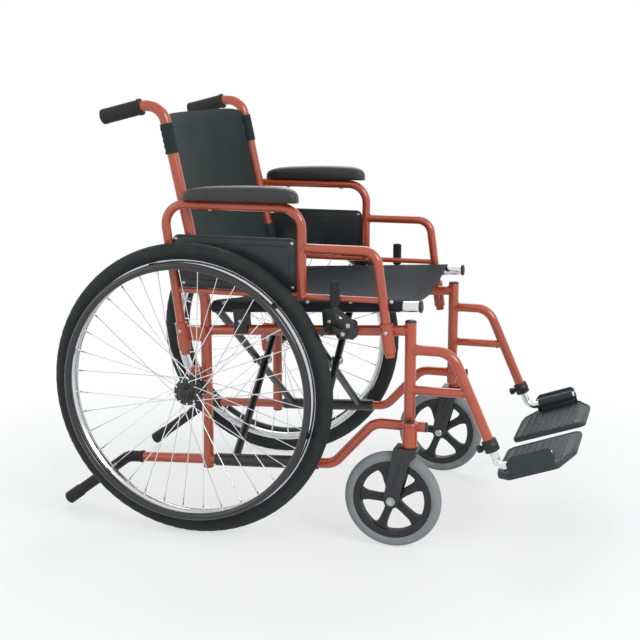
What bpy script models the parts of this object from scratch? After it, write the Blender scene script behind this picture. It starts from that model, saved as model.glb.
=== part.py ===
# Folding transit wheelchair: tubular side frames joined by a cross brace, large spoked
# rear wheels with handrims, front castors, lift-off armrests and flip-up footplates.
# Metres, +Z up. The person faces -Y and the person's left is +X. The origin is on the
# floor, under the middle of the whole chair.

import math

import bmesh
import bpy
from mathutils import Matrix, Quaternion, Vector

# Clearances
GAP = 0.0003
SLIDE_GAP = 0.0004
PIVOT_GAP = 0.0005

# Frame tubes
POST_R = 0.0115
RAIL_R = 0.0105
BRACE_R = 0.009
ARM_R = 0.0095
BAR_R = 0.008

# Where the side frames stand
FRAME_X = 0.230
AXLE_Y = 0.224
RAKE = math.radians(3.3)
REAR_POST_Y = AXLE_Y - 0.014
FRONT_POST_Y = AXLE_Y - 0.448
BOTTOM_RAIL_H = 0.139
UPPER_RAIL_H = 0.419
SEAT_LIFT = 0.048

# Back canes and push handles
CANE_BEND_Z = UPPER_RAIL_H + 0.059
CANE_TOP_Y = AXLE_Y + 0.074
CANE_TOP_Z = UPPER_RAIL_H + 0.468
HANDLE_END_Y = AXLE_Y + 0.203
HANDLE_DROP = math.radians(14)
CANE_BEND_R = 0.10
HANDLE_BEND_R = 0.040

# Push handle grips and tipping lever grips
GRIP_WALL = 0.0045
GRIP_LENGTH = 0.088
GRIP_END = 0.005
LEVER_BEND_Y = AXLE_Y + 0.172
LEVER_END_Y = AXLE_Y + 0.318
LEVER_DROP = math.radians(37)
LEVER_GRIP_START_Y = AXLE_Y + 0.135
LEVER_GRIP_WALL = 0.003

# Front of the side frame
SLANT_START_Y = AXLE_Y - 0.290
SLANT_TOP_Y = AXLE_Y - 0.375
FRONT_RAIL_Z = 0.250
FRONT_RAIL_OVERHANG = 0.034
FRONT_POST_TOP_Z = UPPER_RAIL_H + 0.044
RAIL_BEND_R = 0.040
POST_FOOT = 0.004
POST_IN_HOUSING = 0.011

# Footrest hangers, fixed to the front posts
HANGER_TOP_Z = UPPER_RAIL_H - 0.012
HANGER_BRACE_Z = HANGER_TOP_Z - 0.082
HANGER_END_Y = AXLE_Y - 0.617
HANGER_END_Z = 0.213
HANGER_SLOPE = math.radians(24)
HANGER_BEND_R = 0.045
HANGER_BORE_DEPTH = 0.105
CLAMP_HEIGHT = 0.024
CLAMP_WALL = 0.0045
CLAMP_KNOB_R = 0.008
CLAMP_KNOB_REACH = 0.018
CLAMP_KNOB_ROOT = 0.002

# Footplates
TOE_UP = math.radians(19.5)
PLATE_REACH = 0.200
PLATE_DEPTH = 0.162
PLATE_THICKNESS = 0.010
PLATE_DROP = 0.0175
PLATE_REAR_Y = AXLE_Y - 0.6143
PLATE_REAR_Z = 0.1745
PLATE_OUTER = 0.0125
RIB_COUNT = 6
RIB_WIDTH = 0.004
RIB_HEIGHT = 0.0025
RIB_SINK = 0.0005
RIB_INNER = 0.020
RIB_OUTER = 0.014
RIB_REAR = 0.026
RIB_FRONT = 0.036
KNUCKLE_START = 0.044
KNUCKLE_END = 0.128
KNUCKLE_SHORT = 0.004
WALL_START = 0.034
WALL_END = 0.128
WALL_RISE = 0.006
KNUCKLE_WALL = 0.0042
OUTER_WALL_T = 0.0036
HINGE_WEB_T = 0.0045
HINGE_WEB_INSET = 0.002
HINGE_BEND_R = 0.018
EXTENSION_INSIDE = 0.075

# Rear wheels
WHEEL_R = 0.305
WHEEL_X = 0.287
TYRE_R = 0.0175
TYRE_SEAT = 0.0125
RIM_DEPTH = 0.014
RIM_LIP = 0.004
RIM_BED = 0.0022
SEGMENTS = 40
SPOKES = 24
SPOKE_R = 0.0012
HUB_R = 0.017
HUB_SEGMENTS = 16
HUB_HALF = 0.032
HUB_CHAMFER = 0.002
HUB_WAIST = 0.003
SPOKE_IN_FLANGE = 0.004
SPOKE_END_X = 0.002
FLANGE_R = 0.027
FLANGE_HALF = 0.021
FLANGE_T = 0.003
AXLE_R = 0.006
AXLE_HEAD_R = 0.010
HANDRIM_R = WHEEL_R - 0.043
HANDRIM_TUBE_R = 0.0075
HANDRIM_X = 0.320
HANDRIM_SIDES = 6
HANDRIM_TABS = 6
TAB_R = 0.003
TAB_INSET = 0.008
TAB_IN_TUBE = 0.003
TAB_TURN = 0.25
AXLE_PLATE = (0.008, 0.046, 0.070)
AXLE_PLATE_SHIFT = 0.003
AXLE_PLATE_EDGE = 0.002
AXLE_HEAD_T = 0.010
AXLE_NUT_T = 0.008
AXLE_CHAMFER = 0.002
AXLE_BOSS_R = 0.0125
AXLE_BOSS_HALF = 0.0125
PIN_SIDES = 8

# Castors
CASTOR_R = 0.100
CASTOR_SECTION_R = 0.0125
CASTOR_TYRE_DEPTH = 0.020
CASTOR_X = 0.247
STEM_Y = AXLE_Y - 0.453
CASTOR_TRAIL = 0.033
CASTOR_SPOKES = 5
CASTOR_HUB_R = 0.018
CASTOR_SPOKE_HALF = 0.0085
CASTOR_RIM_T = 0.014
CASTOR_TURN = 0.05
CASTOR_SEGMENTS = 24
CASTOR_SEAT_SHARE = 0.8
CASTOR_SPOKE_SHARE = 1.2
CASTOR_SPOKE_ROOT = 0.003
CASTOR_HUB_END = 0.7
CASTOR_RIM_TAPER = 0.002
CASTOR_HEAD_T = 0.005
CASTOR_HEAD_CHAMFER = 0.001
CROWN_CLEARANCE = 0.004
CROWN_T = 0.008
CROWN_HALF_WIDTH = 0.017
CROWN_REAR = 0.004
BLADE_T = 0.004
BLADE_GAP = 0.004
BLADE_WIDTH = 0.016
BLADE_RISE = 0.004
BLADE_TIP_WIDTH = 0.010
BLADE_TIP_DROP = 0.011
STEM_R = 0.008
STEM_LENGTH = 0.036
STEM_IN_CROWN = 0.004
STEM_HEADROOM = 0.004
HOUSING_R = 0.015
HOUSING_HEIGHT = 0.050
HOUSING_SIDES = 14
CAP_FLOOR = 0.046
CAP_R = 0.0075
CAP_T = 0.007

# Cross brace
BRACE_LEG_R = 0.0085
SLEEVE_WALL = 0.0025
SLEEVE_REAR = 0.040
SLEEVE_FRONT = 0.266
REAR_X_V = 0.073
FRONT_X_V = 0.240
LEG_SPACING = 0.0185
PIVOT_R = 0.004
PIVOT_HEAD_R = 0.009
PIVOT_HEAD_T = 0.004
SEAT_RAIL_R = 0.011
SEAT_RAIL_REAR = 0.057
SEAT_RAIL_FRONT = 0.493
RAIL_CAP_T = 0.006
RAIL_CAP_LIP = 0.0015
RAIL_CAP_TAPER = 0.003
PIVOT_HEAD_CHAMFER = 0.002

# Seat rail saddles
SADDLE_V = (0.120, WHEEL_R + 0.005)
SADDLE_LENGTH = 0.028
SADDLE_WIDTH = 0.030
SADDLE_GRIP = 0.005
SADDLE_EDGE = 0.0015
SADDLE_LOW_LIP = 0.002

# Armrests
ARM_X = 0.254
ARM_TOP_Z = UPPER_RAIL_H + 0.264
ARM_STEP_Z = ARM_TOP_Z - 0.079
ARM_BAR_Z = UPPER_RAIL_H + 0.088
ARM_BAR_R = 0.006
ARM_REAR_Y = AXLE_Y + 0.066
ARM_FRONT_Y = AXLE_Y - 0.230
ARM_STEP_Y = AXLE_Y - 0.383
ARM_LEAN = math.radians(8)
ARM_BEND_R = 0.042
ARM_STEP_BEND_R = 0.032
SOCKET_WALL = 0.0025
SOCKET_ABOVE = 0.018
SOCKET_BELOW = 0.040
SOCKET_WEB_END = 0.007
SOCKET_WEB_HEIGHT = 0.030
SOCKET_WEB_DROP = 0.003
SOCKET_WEB_INSET = 0.002
FRONT_SOCKET_Y = FRONT_POST_Y + 0.04
LEG_PAST_SOCKET = 0.008
LEG_PAST_BAR = 0.003
STEP_TUBE_SCALE = 0.97
PAD_X = ARM_X + 0.005
PAD_LENGTH = 0.242
PAD_WIDTH = 0.044
PAD_THICKNESS = 0.032
PAD_STATIONS = 9
PAD_AROUND = 14
PAD_BACK_Y = AXLE_Y + 0.018
PANEL_T = 0.0025
PANEL_TOP_Z = ARM_STEP_Z + 0.018
PAD_END_WIDTH = 0.55
PAD_END_HEIGHT = 0.40
PAD_SKIRT = 0.3

# Wheel locks
LOCK_Y = AXLE_Y - WHEEL_R - 0.017
LOCK_PLATE_T = 0.004
LOCK_PIVOT = (LOCK_Y - 0.008, UPPER_RAIL_H + 0.037)
LOCK_TIP = (LOCK_Y + 0.019, LOCK_PIVOT[1] + 0.084)
LOCK_GRIP_LENGTH = 0.050
SHOE_PIVOT = (LOCK_Y + 0.006, LOCK_PIVOT[1] - 0.020)
SHOE_R = 0.006
SHOE_CLEARANCE = 0.009
SHOE_LEVEL = SHOE_PIVOT[1] + 0.010
LOCK_PIN_R = 0.003
LOCK_BODY = (0.033, 0.026, 0.027)
LOCK_BODY_SHIFT = 0.003
LOCK_PLATE_HALF = 0.022
LOCK_PLATE_TOP = 0.026
LOCK_PLATE_FRONT_LOW = 0.010
LOCK_PLATE_REAR_LOW = 0.016
LOCK_PLATE_X = FRAME_X + RAIL_R + 0.005
LOCK_LEVER_X = ARM_X + ARM_R + 0.002
LOCK_SHOE_X = LOCK_PLATE_X + LOCK_PLATE_T + 0.0015
LEVER_ROOT = 0.012
LEVER_ROOT_LOW = 0.010
LEVER_SHOULDER = 0.010
LEVER_STEM = 0.006
LEVER_TIP = 0.0045
LOCK_GRIP_BODY = (0.0095, 0.020)
LOCK_GRIP_SHIFT = 0.0015
LOCK_GRIP_END = 0.004
LOCK_GRIP_EDGE = 0.0025
LOCK_GRIP_SLOT = 0.013
SHOE_ARM_ROOT = 0.008
SHOE_ARM_TIP = 0.005

# Upholstery
SEAT_SHEET = 0.005
SEAT_FRONT = 0.460
SEAT_REAR = 0.060
SEAT_SAG = 0.020
SEAT_WRAP = 0.0024
SEAT_SPANS = 6
SEAT_STATIONS = 7
BACK_TOP = 0.392
BACK_BOTTOM = 0.045
BACK_T = 0.007
BACK_SAG = 0.032
BACK_INSET = 0.016
SLEEVE_TOP = (0.312, 0.373)
SLEEVE_LOW = (0.066, 0.110)
BACK_SLEEVE_WALL = 0.0026
BACK_SPANS = 8
BACK_LEVELS = 6

# Worked out from the sizes above
SEAT_RAIL_H = UPPER_RAIL_H + SEAT_LIFT
PIVOT_H = (BOTTOM_RAIL_H + SEAT_RAIL_H) / 2
RIM_OUTER_R = WHEEL_R - 2 * TYRE_R + RIM_BED
RIM_INNER_R = RIM_OUTER_R - RIM_DEPTH
LEAN = Vector((0, math.sin(ARM_LEAN), math.cos(ARM_LEAN)))
X_AXIS = Vector((1, 0, 0))
Y_AXIS = Vector((0, 1, 0))
Z_AXIS = Vector((0, 0, 1))
RAKED = Matrix.Translation((0, AXLE_Y, 0)) @ Matrix.Rotation(-RAKE, 4, "X")
TOE = Vector((0, -math.cos(TOE_UP), math.sin(TOE_UP)))
HANGER_DOWN = Vector((0, -math.sin(HANGER_SLOPE), -math.cos(HANGER_SLOPE)))
HINGE = Vector((FRAME_X, PLATE_REAR_Y, PLATE_REAR_Z))
CASTOR_Y = STEM_Y + CASTOR_TRAIL
CROWN_Z = CASTOR_R + CASTOR_R + CROWN_CLEARANCE
HOUSING_Z = CROWN_Z + CROWN_T + PIVOT_GAP
CANE_START = Vector((FRAME_X, REAR_POST_Y, CANE_BEND_Z))
CANE_CORNER = Vector((FRAME_X, CANE_TOP_Y, CANE_TOP_Z))
CANE = (CANE_CORNER - CANE_START).normalized()

COLOURS = {
    "frame_red": ((0.50, 0.085, 0.045), 0.35, 0.1),
    "satin_black": ((0.02, 0.02, 0.022), 0.45, 0.0),
    "black_rubber": ((0.018, 0.018, 0.019), 0.8, 0.0),
    "tyre_black": ((0.018, 0.018, 0.019), 0.85, 0.0),
    "pad_black": ((0.022, 0.022, 0.023), 0.6, 0.0),
    "grey_rubber": ((0.42, 0.44, 0.44), 0.75, 0.0),
    "chrome": ((0.78, 0.79, 0.80), 0.18, 1.0),
    "black_plastic": ((0.025, 0.027, 0.028), 0.5, 0.0),
    "dark_fabric": ((0.030, 0.040, 0.040), 0.85, 0.0),
}


def clear_scene():
    for item in list(bpy.data.objects):
        bpy.data.objects.remove(item, do_unlink=True)


def material(name):
    if name in bpy.data.materials:
        return bpy.data.materials[name]
    colour, roughness, metallic = COLOURS[name]
    made = bpy.data.materials.new(name)
    made.use_nodes = True
    shader = made.node_tree.nodes["Principled BSDF"]
    shader.inputs["Base Color"].default_value = (*colour, 1)
    shader.inputs["Roughness"].default_value = roughness
    shader.inputs["Metallic"].default_value = metallic
    return made


def mesh_from(verts, faces):
    mesh = bpy.data.meshes.new("shape")
    mesh.from_pydata([tuple(v) for v in verts], [], faces)
    shape = bmesh.new()
    shape.from_mesh(mesh)
    bmesh.ops.recalc_face_normals(shape, faces=shape.faces)
    shape.to_mesh(mesh)
    shape.free()
    return mesh


def moved(mesh, matrix):
    copy = mesh.copy()
    copy.transform(matrix)
    if matrix.determinant() < 0:
        copy.flip_normals()
    return copy


def mirrored(mesh):
    return moved(mesh, Matrix.Scale(-1, 4, X_AXIS))


def fuse(add, cut=()):
    """One solid: the first mesh joined with the rest, less the cutters."""
    helpers = []
    groups = []
    base = bpy.data.objects.new("base", add[0].copy())
    bpy.context.scene.collection.objects.link(base)
    helpers.append(base)
    for shapes, operation in ((add[1:], "UNION"), (cut, "DIFFERENCE")):
        if not shapes:
            continue
        group = bpy.data.collections.new(operation.lower())
        bpy.context.scene.collection.children.link(group)
        groups.append(group)
        for shape in shapes:
            helper = bpy.data.objects.new("operand", shape)
            helper.hide_render = True
            helper.display_type = "WIRE"
            group.objects.link(helper)
            helpers.append(helper)
        modifier = base.modifiers.new(operation.lower(), "BOOLEAN")
        modifier.operation = operation
        modifier.operand_type = "COLLECTION"
        modifier.collection = group
        modifier.solver = "EXACT"
    graph = bpy.context.evaluated_depsgraph_get()
    result = bpy.data.meshes.new_from_object(base.evaluated_get(graph))
    for helper in helpers:
        bpy.data.objects.remove(helper, do_unlink=True)
    for group in groups:
        bpy.data.collections.remove(group)
    return result


def add_node(name, mesh, finish, origin=(0, 0, 0), sharp=38):
    """One named object, with its origin on the joint that it moves about."""
    data = moved(mesh, Matrix.Translation(-Vector(origin)))
    data.name = name
    data.materials.clear()
    data.materials.append(material(finish))
    data.shade_smooth()
    data.set_sharp_from_angle(angle=math.radians(sharp))
    node = bpy.data.objects.new(name, data)
    node.location = origin
    bpy.context.scene.collection.objects.link(node)
    return node


def add_pair(name, mesh, finish, origin=(0, 0, 0), sharp=38):
    """The left piece as modelled on +X, and its mirror image on -X."""
    add_node(name + "_left", mesh, finish, origin, sharp)
    x, y, z = origin
    add_node(name + "_right", mirrored(mesh), finish, (-x, y, z), sharp)


def bore(radius, gap, sides=12):
    """Corner radius of a faceted hole whose flats stay clear of a round piece."""
    return (radius + gap) / math.cos(math.pi / sides)


def fillet(points, radius, steps=5):
    """The same route with an arc in place of each inner corner."""
    points = [Vector(p) for p in points]
    route = [points[0]]
    for before, corner, after in zip(points, points[1:], points[2:]):
        arrive = (corner - before).normalized()
        leave = (after - corner).normalized()
        turn = arrive.angle(leave)
        if turn < 0.001:
            continue
        back = radius * math.tan(turn / 2)
        inward = (leave - arrive).normalized()
        centre = corner + inward * radius / math.cos(turn / 2)
        start = corner - arrive * back
        spin_axis = arrive.cross(leave).normalized()
        for step in range(steps + 1):
            spin = Quaternion(spin_axis, turn * step / steps)
            route.append(centre + spin @ (start - centre))
    route.append(points[-1])
    return route


def loft_faces(rings, around):
    """Faces between rings of points one after another, with both ends closed."""
    faces = []
    for ring in range(rings - 1):
        a = ring * around
        for step in range(around):
            after = (step + 1) % around
            faces.append((a + step, a + after, a + around + after, a + around + step))
    faces.append(tuple(range(around)))
    faces.append(tuple((rings - 1) * around + step for step in range(around)))
    return faces


def tube(route, radius, across=X_AXIS, sides=12):
    """A round bar with flat ends along a flat route; across is square to its plane."""
    route = [Vector(p) for p in route]
    verts = []
    last = len(route) - 1
    for index, point in enumerate(route):
        ahead = route[min(index + 1, last)] - point
        behind = point - route[max(index - 1, 0)]
        tangent = (ahead.normalized() + behind.normalized()).normalized()
        up = tangent.cross(across).normalized()
        for side in range(sides):
            angle = 2 * math.pi * (side + 0.5) / sides
            verts.append(point + radius * (math.cos(angle) * across + math.sin(angle) * up))
    return mesh_from(verts, loft_faces(last + 1, sides))


def bar(start, end, radius, sides=12):
    """A straight round bar in any direction."""
    start = Vector(start)
    end = Vector(end)
    direction = (end - start).normalized()
    side = Y_AXIS if abs(direction.x) > 0.9 else X_AXIS
    across = (side - direction * direction.dot(side)).normalized()
    return tube([start, end], radius, across, sides)


def turned(profile, segments, closed, phase=0.5):
    """A profile of (radius, x) points turned about the X axis."""
    verts = []
    rings = []
    for radius, offset in profile:
        if radius < 1e-7:
            rings.append([len(verts)])
            verts.append((offset, 0, 0))
            continue
        rings.append(list(range(len(verts), len(verts) + segments)))
        for step in range(segments):
            angle = 2 * math.pi * (step + phase) / segments - math.pi / 2
            verts.append((offset, radius * math.cos(angle), radius * math.sin(angle)))
    pairs = list(zip(rings, rings[1:]))
    if closed:
        pairs.append((rings[-1], rings[0]))
    faces = []
    for one, two in pairs:
        for step in range(segments):
            after = (step + 1) % segments
            if len(one) == 1:
                faces.append((one[0], two[step], two[after]))
            elif len(two) == 1:
                faces.append((one[step], two[0], one[after]))
            else:
                faces.append((one[step], two[step], two[after], one[after]))
    return mesh_from(verts, faces)


def slab(outline, low, high, plane="YZ"):
    """A flat outline given depth: (y, z) points along X, or (x, y) points along Z."""
    verts = []
    for level in (low, high):
        for a, b in outline:
            verts.append((level, a, b) if plane == "YZ" else (a, b, level))
    count = len(outline)
    faces = [tuple(range(count)), tuple(range(count, 2 * count))]
    for step in range(count):
        after = (step + 1) % count
        faces.append((step, after, count + after, count + step))
    return mesh_from(verts, faces)


def block(centre, size, edge=0.0):
    """A box, with its edges softened by a bevel where edge is more than nothing."""
    shape = bmesh.new()
    bmesh.ops.create_cube(shape, size=1)
    bmesh.ops.scale(shape, vec=size, verts=shape.verts)
    if edge:
        bmesh.ops.bevel(shape, geom=shape.edges, offset=edge, segments=1, affect="EDGES")
    bmesh.ops.translate(shape, vec=centre, verts=shape.verts)
    mesh = bpy.data.meshes.new("block")
    shape.to_mesh(mesh)
    shape.free()
    return mesh


def rail_z(height, y):
    """World height of a raked rail line above the floor at y."""
    return height / math.cos(RAKE) - (y - AXLE_Y) * math.tan(RAKE)


def on_rail(x, v, height):
    """A point v behind the axle along a raked rail line."""
    return RAKED @ Vector((x, v, height))


def in_plane(points):
    return [(FRAME_X, y, z) for y, z in points]


def cane_route():
    foot_z = rail_z(BOTTOM_RAIL_H, REAR_POST_Y) - RAIL_R - POST_FOOT
    end_z = CANE_TOP_Z - (HANDLE_END_Y - CANE_TOP_Y) * math.tan(HANDLE_DROP)
    corners = in_plane([(REAR_POST_Y, foot_z), (REAR_POST_Y, CANE_BEND_Z)])
    lower = fillet(corners + [CANE_CORNER], CANE_BEND_R, 3)
    upper = fillet([CANE_START, CANE_CORNER, (FRAME_X, HANDLE_END_Y, end_z)], HANDLE_BEND_R)
    return lower[:-1] + upper[1:]


def lever_tip():
    drop = (LEVER_END_Y - LEVER_BEND_Y) * math.tan(LEVER_DROP)
    return Vector((FRAME_X, LEVER_END_Y, rail_z(BOTTOM_RAIL_H, LEVER_BEND_Y) - drop))


def bottom_rail_route():
    """From the tipping lever's end, forwards and up past the front post."""
    corners = [
        lever_tip(),
        (FRAME_X, LEVER_BEND_Y, rail_z(BOTTOM_RAIL_H, LEVER_BEND_Y)),
        (FRAME_X, SLANT_START_Y, rail_z(BOTTOM_RAIL_H, SLANT_START_Y)),
        (FRAME_X, SLANT_TOP_Y, FRONT_RAIL_Z),
        (FRAME_X, FRONT_POST_Y - FRONT_RAIL_OVERHANG, FRONT_RAIL_Z),
    ]
    return fillet(corners, RAIL_BEND_R, 3)


def hanger_end():
    return Vector((FRAME_X, HANGER_END_Y, HANGER_END_Z))


def hanger_bend():
    rise = HANGER_TOP_Z - HANGER_END_Z
    return Vector((FRAME_X, HANGER_END_Y + rise * math.tan(HANGER_SLOPE), HANGER_TOP_Z))


def arm_line(y_at_top, z_at_top, z):
    """A point at height z on an armrest leg that leans by ARM_LEAN."""
    return Vector((ARM_X, y_at_top - (z_at_top - z) * math.tan(ARM_LEAN), z))


def rear_leg(z):
    return arm_line(ARM_REAR_Y, ARM_TOP_Z, z)


def front_leg(z):
    return arm_line(ARM_STEP_Y, ARM_STEP_Z, z)


def socket_span(leg, y_guess):
    middle = rail_z(UPPER_RAIL_H, y_guess)
    return leg(middle - SOCKET_BELOW), leg(middle + SOCKET_ABOVE)


def socket_web(low, high, inner_y=None):
    """Block that joins an armrest socket to the frame tube beside it."""
    socket_y = (low.y + high.y) / 2
    inner_y = socket_y if inner_y is None else inner_y
    level = rail_z(UPPER_RAIL_H, socket_y) - SOCKET_WEB_DROP
    centre = ((FRAME_X + ARM_X) / 2, (socket_y + inner_y) / 2, level)
    width = ARM_X - FRAME_X - SOCKET_WEB_INSET
    length = socket_y - inner_y + 2 * SOCKET_WEB_END
    return block(centre, (width, length, SOCKET_WEB_HEIGHT), SOCKET_WEB_INSET / 2)


def side_frame():
    """Welded tubes, castor housing, axle plate and armrest sockets of one side."""
    brace_y = HANGER_END_Y + (HANGER_BRACE_Z - HANGER_END_Z) * math.tan(HANGER_SLOPE)
    brace = [(FRONT_POST_Y, HANGER_BRACE_Z), (brace_y, HANGER_BRACE_Z)]
    upper = [(y, rail_z(UPPER_RAIL_H, y)) for y in (REAR_POST_Y, FRONT_POST_Y)]
    post = [(FRONT_POST_Y, FRONT_POST_TOP_Z), (FRONT_POST_Y, HOUSING_Z + POST_IN_HOUSING)]
    hanger = in_plane([(FRONT_POST_Y, HANGER_TOP_Z)]) + [hanger_bend(), hanger_end()]
    rear_low, rear_high = socket_span(rear_leg, REAR_POST_Y)
    front_low, front_high = socket_span(front_leg, FRONT_SOCKET_Y)
    socket_r = ARM_R + SLIDE_GAP + SOCKET_WALL
    stem = Vector((CASTOR_X, STEM_Y, HOUSING_Z))
    axle = Vector((FRAME_X, AXLE_Y, WHEEL_R))
    boss = X_AXIS * AXLE_BOSS_HALF
    add = [
        tube(cane_route(), POST_R),
        tube(bottom_rail_route(), RAIL_R),
        tube(in_plane(upper), RAIL_R),
        tube(in_plane(post), POST_R),
        tube(fillet(hanger, HANGER_BEND_R, 4), RAIL_R),
        tube(in_plane(brace), BRACE_R),
        bar(stem, stem + Z_AXIS * HOUSING_HEIGHT, HOUSING_R, HOUSING_SIDES),
        block(axle + Y_AXIS * AXLE_PLATE_SHIFT, AXLE_PLATE, AXLE_PLATE_EDGE),
        bar(axle - boss, axle + boss, AXLE_BOSS_R),
        bar(rear_low, rear_high, socket_r),
        bar(front_low, front_high, socket_r),
        socket_web(rear_low, rear_high, REAR_POST_Y),
        socket_web(front_low, front_high),
    ]
    mouth = hanger_end() + HANGER_DOWN * 0.01
    stem_top = stem + Z_AXIS * (STEM_LENGTH + STEM_HEADROOM)
    cap_floor = stem + Z_AXIS * CAP_FLOOR
    leg_r = ARM_R + SLIDE_GAP
    past = LEAN * 0.01
    cut = [
        bar(mouth, hanger_end() - HANGER_DOWN * HANGER_BORE_DEPTH, BAR_R + SLIDE_GAP),
        bar(stem - Z_AXIS * 0.01, stem_top, bore(STEM_R, PIVOT_GAP)),
        bar(axle - X_AXIS * 0.05, axle + X_AXIS * 0.05, bore(AXLE_R, GAP)),
        bar(cap_floor, cap_floor + Z_AXIS * 0.02, CAP_R + GAP),
        bar(rear_low - past, rear_high + past, leg_r),
        bar(front_low - past, front_high + past, leg_r),
    ]
    return fuse(add, cut)


def blind_sleeve(route, tube_r, wall, end, across=X_AXIS):
    """A grip pushed over a tube's end: route runs from its mouth to its closed tip."""
    route = [Vector(p) for p in route]
    outward = (route[-1] - route[-2]).normalized()
    inward = (route[0] - route[1]).normalized()
    shell = route[:-1] + [route[-1] + outward * (end + GAP)]
    hollow = [route[0] + inward * 0.01] + route[1:-1] + [route[-1] + outward * GAP]
    return fuse([tube(shell, tube_r + wall, across)], [tube(hollow, tube_r + GAP, across)])


def push_grip():
    end = Vector(cane_route()[-1])
    back = (Vector(cane_route()[-2]) - end).normalized()
    return blind_sleeve([end + back * GRIP_LENGTH, end], POST_R, GRIP_WALL, GRIP_END)


def lever_grip():
    start_y = LEVER_GRIP_START_Y
    corners = [
        (FRAME_X, start_y, rail_z(BOTTOM_RAIL_H, start_y)),
        (FRAME_X, LEVER_BEND_Y, rail_z(BOTTOM_RAIL_H, LEVER_BEND_Y)),
        lever_tip(),
    ]
    return blind_sleeve(fillet(corners, RAIL_BEND_R, 3), RAIL_R, LEVER_GRIP_WALL, GRIP_END)


def wheel_centre(x=WHEEL_X):
    return Vector((x, AXLE_Y, WHEEL_R))


def tyre_profile(outer, section, seat_r, seat_half, segments, steps=7):
    """Round tread above a flat seat, in (radius, x) points.

    The tread's facets reach the outer radius at their middles, so the tyre stands level.
    """
    flat = 1 / math.cos(math.pi / segments)
    start = math.asin(seat_half / section)
    middle = outer - section * math.cos((math.pi - start) / steps)
    points = []
    for step in range(steps + 1):
        angle = start + (2 * math.pi - 2 * start) * step / steps
        radius = middle - section * math.cos(angle)
        points.append((radius * flat, section * math.sin(angle)))
    points[0] = (seat_r, seat_half)
    points[-1] = (seat_r, -seat_half)
    return points


def rear_tyre():
    profile = tyre_profile(WHEEL_R, TYRE_R, RIM_OUTER_R + GAP, TYRE_SEAT, SEGMENTS)
    return moved(turned(profile, SEGMENTS, True), Matrix.Translation(wheel_centre()))


def rear_rim():
    half = TYRE_SEAT
    profile = [
        (RIM_OUTER_R, half),
        (RIM_OUTER_R, -half),
        (RIM_INNER_R + RIM_LIP, -half),
        (RIM_INNER_R, RIM_LIP - half),
        (RIM_INNER_R, half - RIM_LIP),
        (RIM_INNER_R + RIM_LIP, half),
    ]
    return moved(turned(profile, SEGMENTS, True), Matrix.Translation(wheel_centre()))


def spoked_hub():
    """Hub shell with two flanges, and spokes that end just short of the rim."""
    inner = bore(AXLE_R, GAP, HUB_SEGMENTS)
    waist = HUB_R - HUB_WAIST
    profile = [
        (inner, -HUB_HALF),
        (HUB_R - HUB_CHAMFER, -HUB_HALF),
        (HUB_R, HUB_CHAMFER - HUB_HALF),
    ]
    for side in (-1, 1):
        near = side * FLANGE_HALF - FLANGE_T / 2
        far = side * FLANGE_HALF + FLANGE_T / 2
        profile += [(waist, near), (FLANGE_R, near), (FLANGE_R, far), (waist, far)]
    profile += [
        (HUB_R, HUB_HALF - HUB_CHAMFER),
        (HUB_R - HUB_CHAMFER, HUB_HALF),
        (inner, HUB_HALF),
    ]
    shapes = [turned(profile, HUB_SEGMENTS, True)]
    tip = RIM_INNER_R * math.cos(math.pi / SEGMENTS) - GAP - SPOKE_R / 4
    for index in range(SPOKES):
        side = X_AXIS if index % 2 else -X_AXIS
        angle = 2 * math.pi * index / SPOKES
        out = Vector((0, math.cos(angle), math.sin(angle)))
        start = out * (FLANGE_R - SPOKE_IN_FLANGE) + side * FLANGE_HALF
        shapes.append(bar(start, out * tip + side * SPOKE_END_X, SPOKE_R, 4))
    return moved(fuse(shapes), Matrix.Translation(wheel_centre()))


def handrim():
    """Push ring beside the rim, carried on short tabs."""
    ring = []
    for step in range(HANDRIM_SIDES):
        angle = 2 * math.pi * step / HANDRIM_SIDES
        ring.append((
            HANDRIM_R + HANDRIM_TUBE_R * math.cos(angle),
            HANDRIM_TUBE_R * math.sin(angle),
        ))
    place = Matrix.Translation(wheel_centre(HANDRIM_X))
    shapes = [moved(turned(ring, SEGMENTS, True), place)]
    tab_r = RIM_INNER_R + TAB_INSET
    foot = wheel_centre(WHEEL_X + TYRE_SEAT + GAP)
    tip = wheel_centre(HANDRIM_X - TAB_IN_TUBE)
    for index in range(HANDRIM_TABS):
        angle = 2 * math.pi * (index + TAB_TURN) / HANDRIM_TABS
        out = Vector((0, math.cos(angle), math.sin(angle))) * tab_r
        shapes.append(bar(foot + out, tip + out, TAB_R, 6))
    return fuse(shapes)


def rear_axle():
    """Bolt through the axle plate and the hub, with a spacer between them."""
    inner = FRAME_X - AXLE_BOSS_HALF
    outer = FRAME_X + AXLE_BOSS_HALF
    hub_in = WHEEL_X - HUB_HALF
    hub_out = WHEEL_X + HUB_HALF
    profile = [
        (0, inner - AXLE_HEAD_T),
        (AXLE_HEAD_R - AXLE_CHAMFER, inner - AXLE_HEAD_T),
        (AXLE_HEAD_R, inner - AXLE_HEAD_T + AXLE_CHAMFER),
        (AXLE_HEAD_R, inner - GAP),
        (AXLE_R, inner - GAP),
        (AXLE_R, outer + GAP),
        (AXLE_HEAD_R, outer + GAP),
        (AXLE_HEAD_R, hub_in - GAP),
        (AXLE_R, hub_in - GAP),
        (AXLE_R, hub_out + GAP),
        (AXLE_HEAD_R, hub_out + GAP),
        (AXLE_HEAD_R, hub_out + AXLE_NUT_T - AXLE_CHAMFER),
        (AXLE_HEAD_R - AXLE_CHAMFER, hub_out + AXLE_NUT_T),
        (0, hub_out + AXLE_NUT_T),
    ]
    return moved(turned(profile, PIN_SIDES, False), Matrix.Translation((0, AXLE_Y, WHEEL_R)))


def castor_centre():
    return Vector((CASTOR_X, CASTOR_Y, CASTOR_R))


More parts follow.
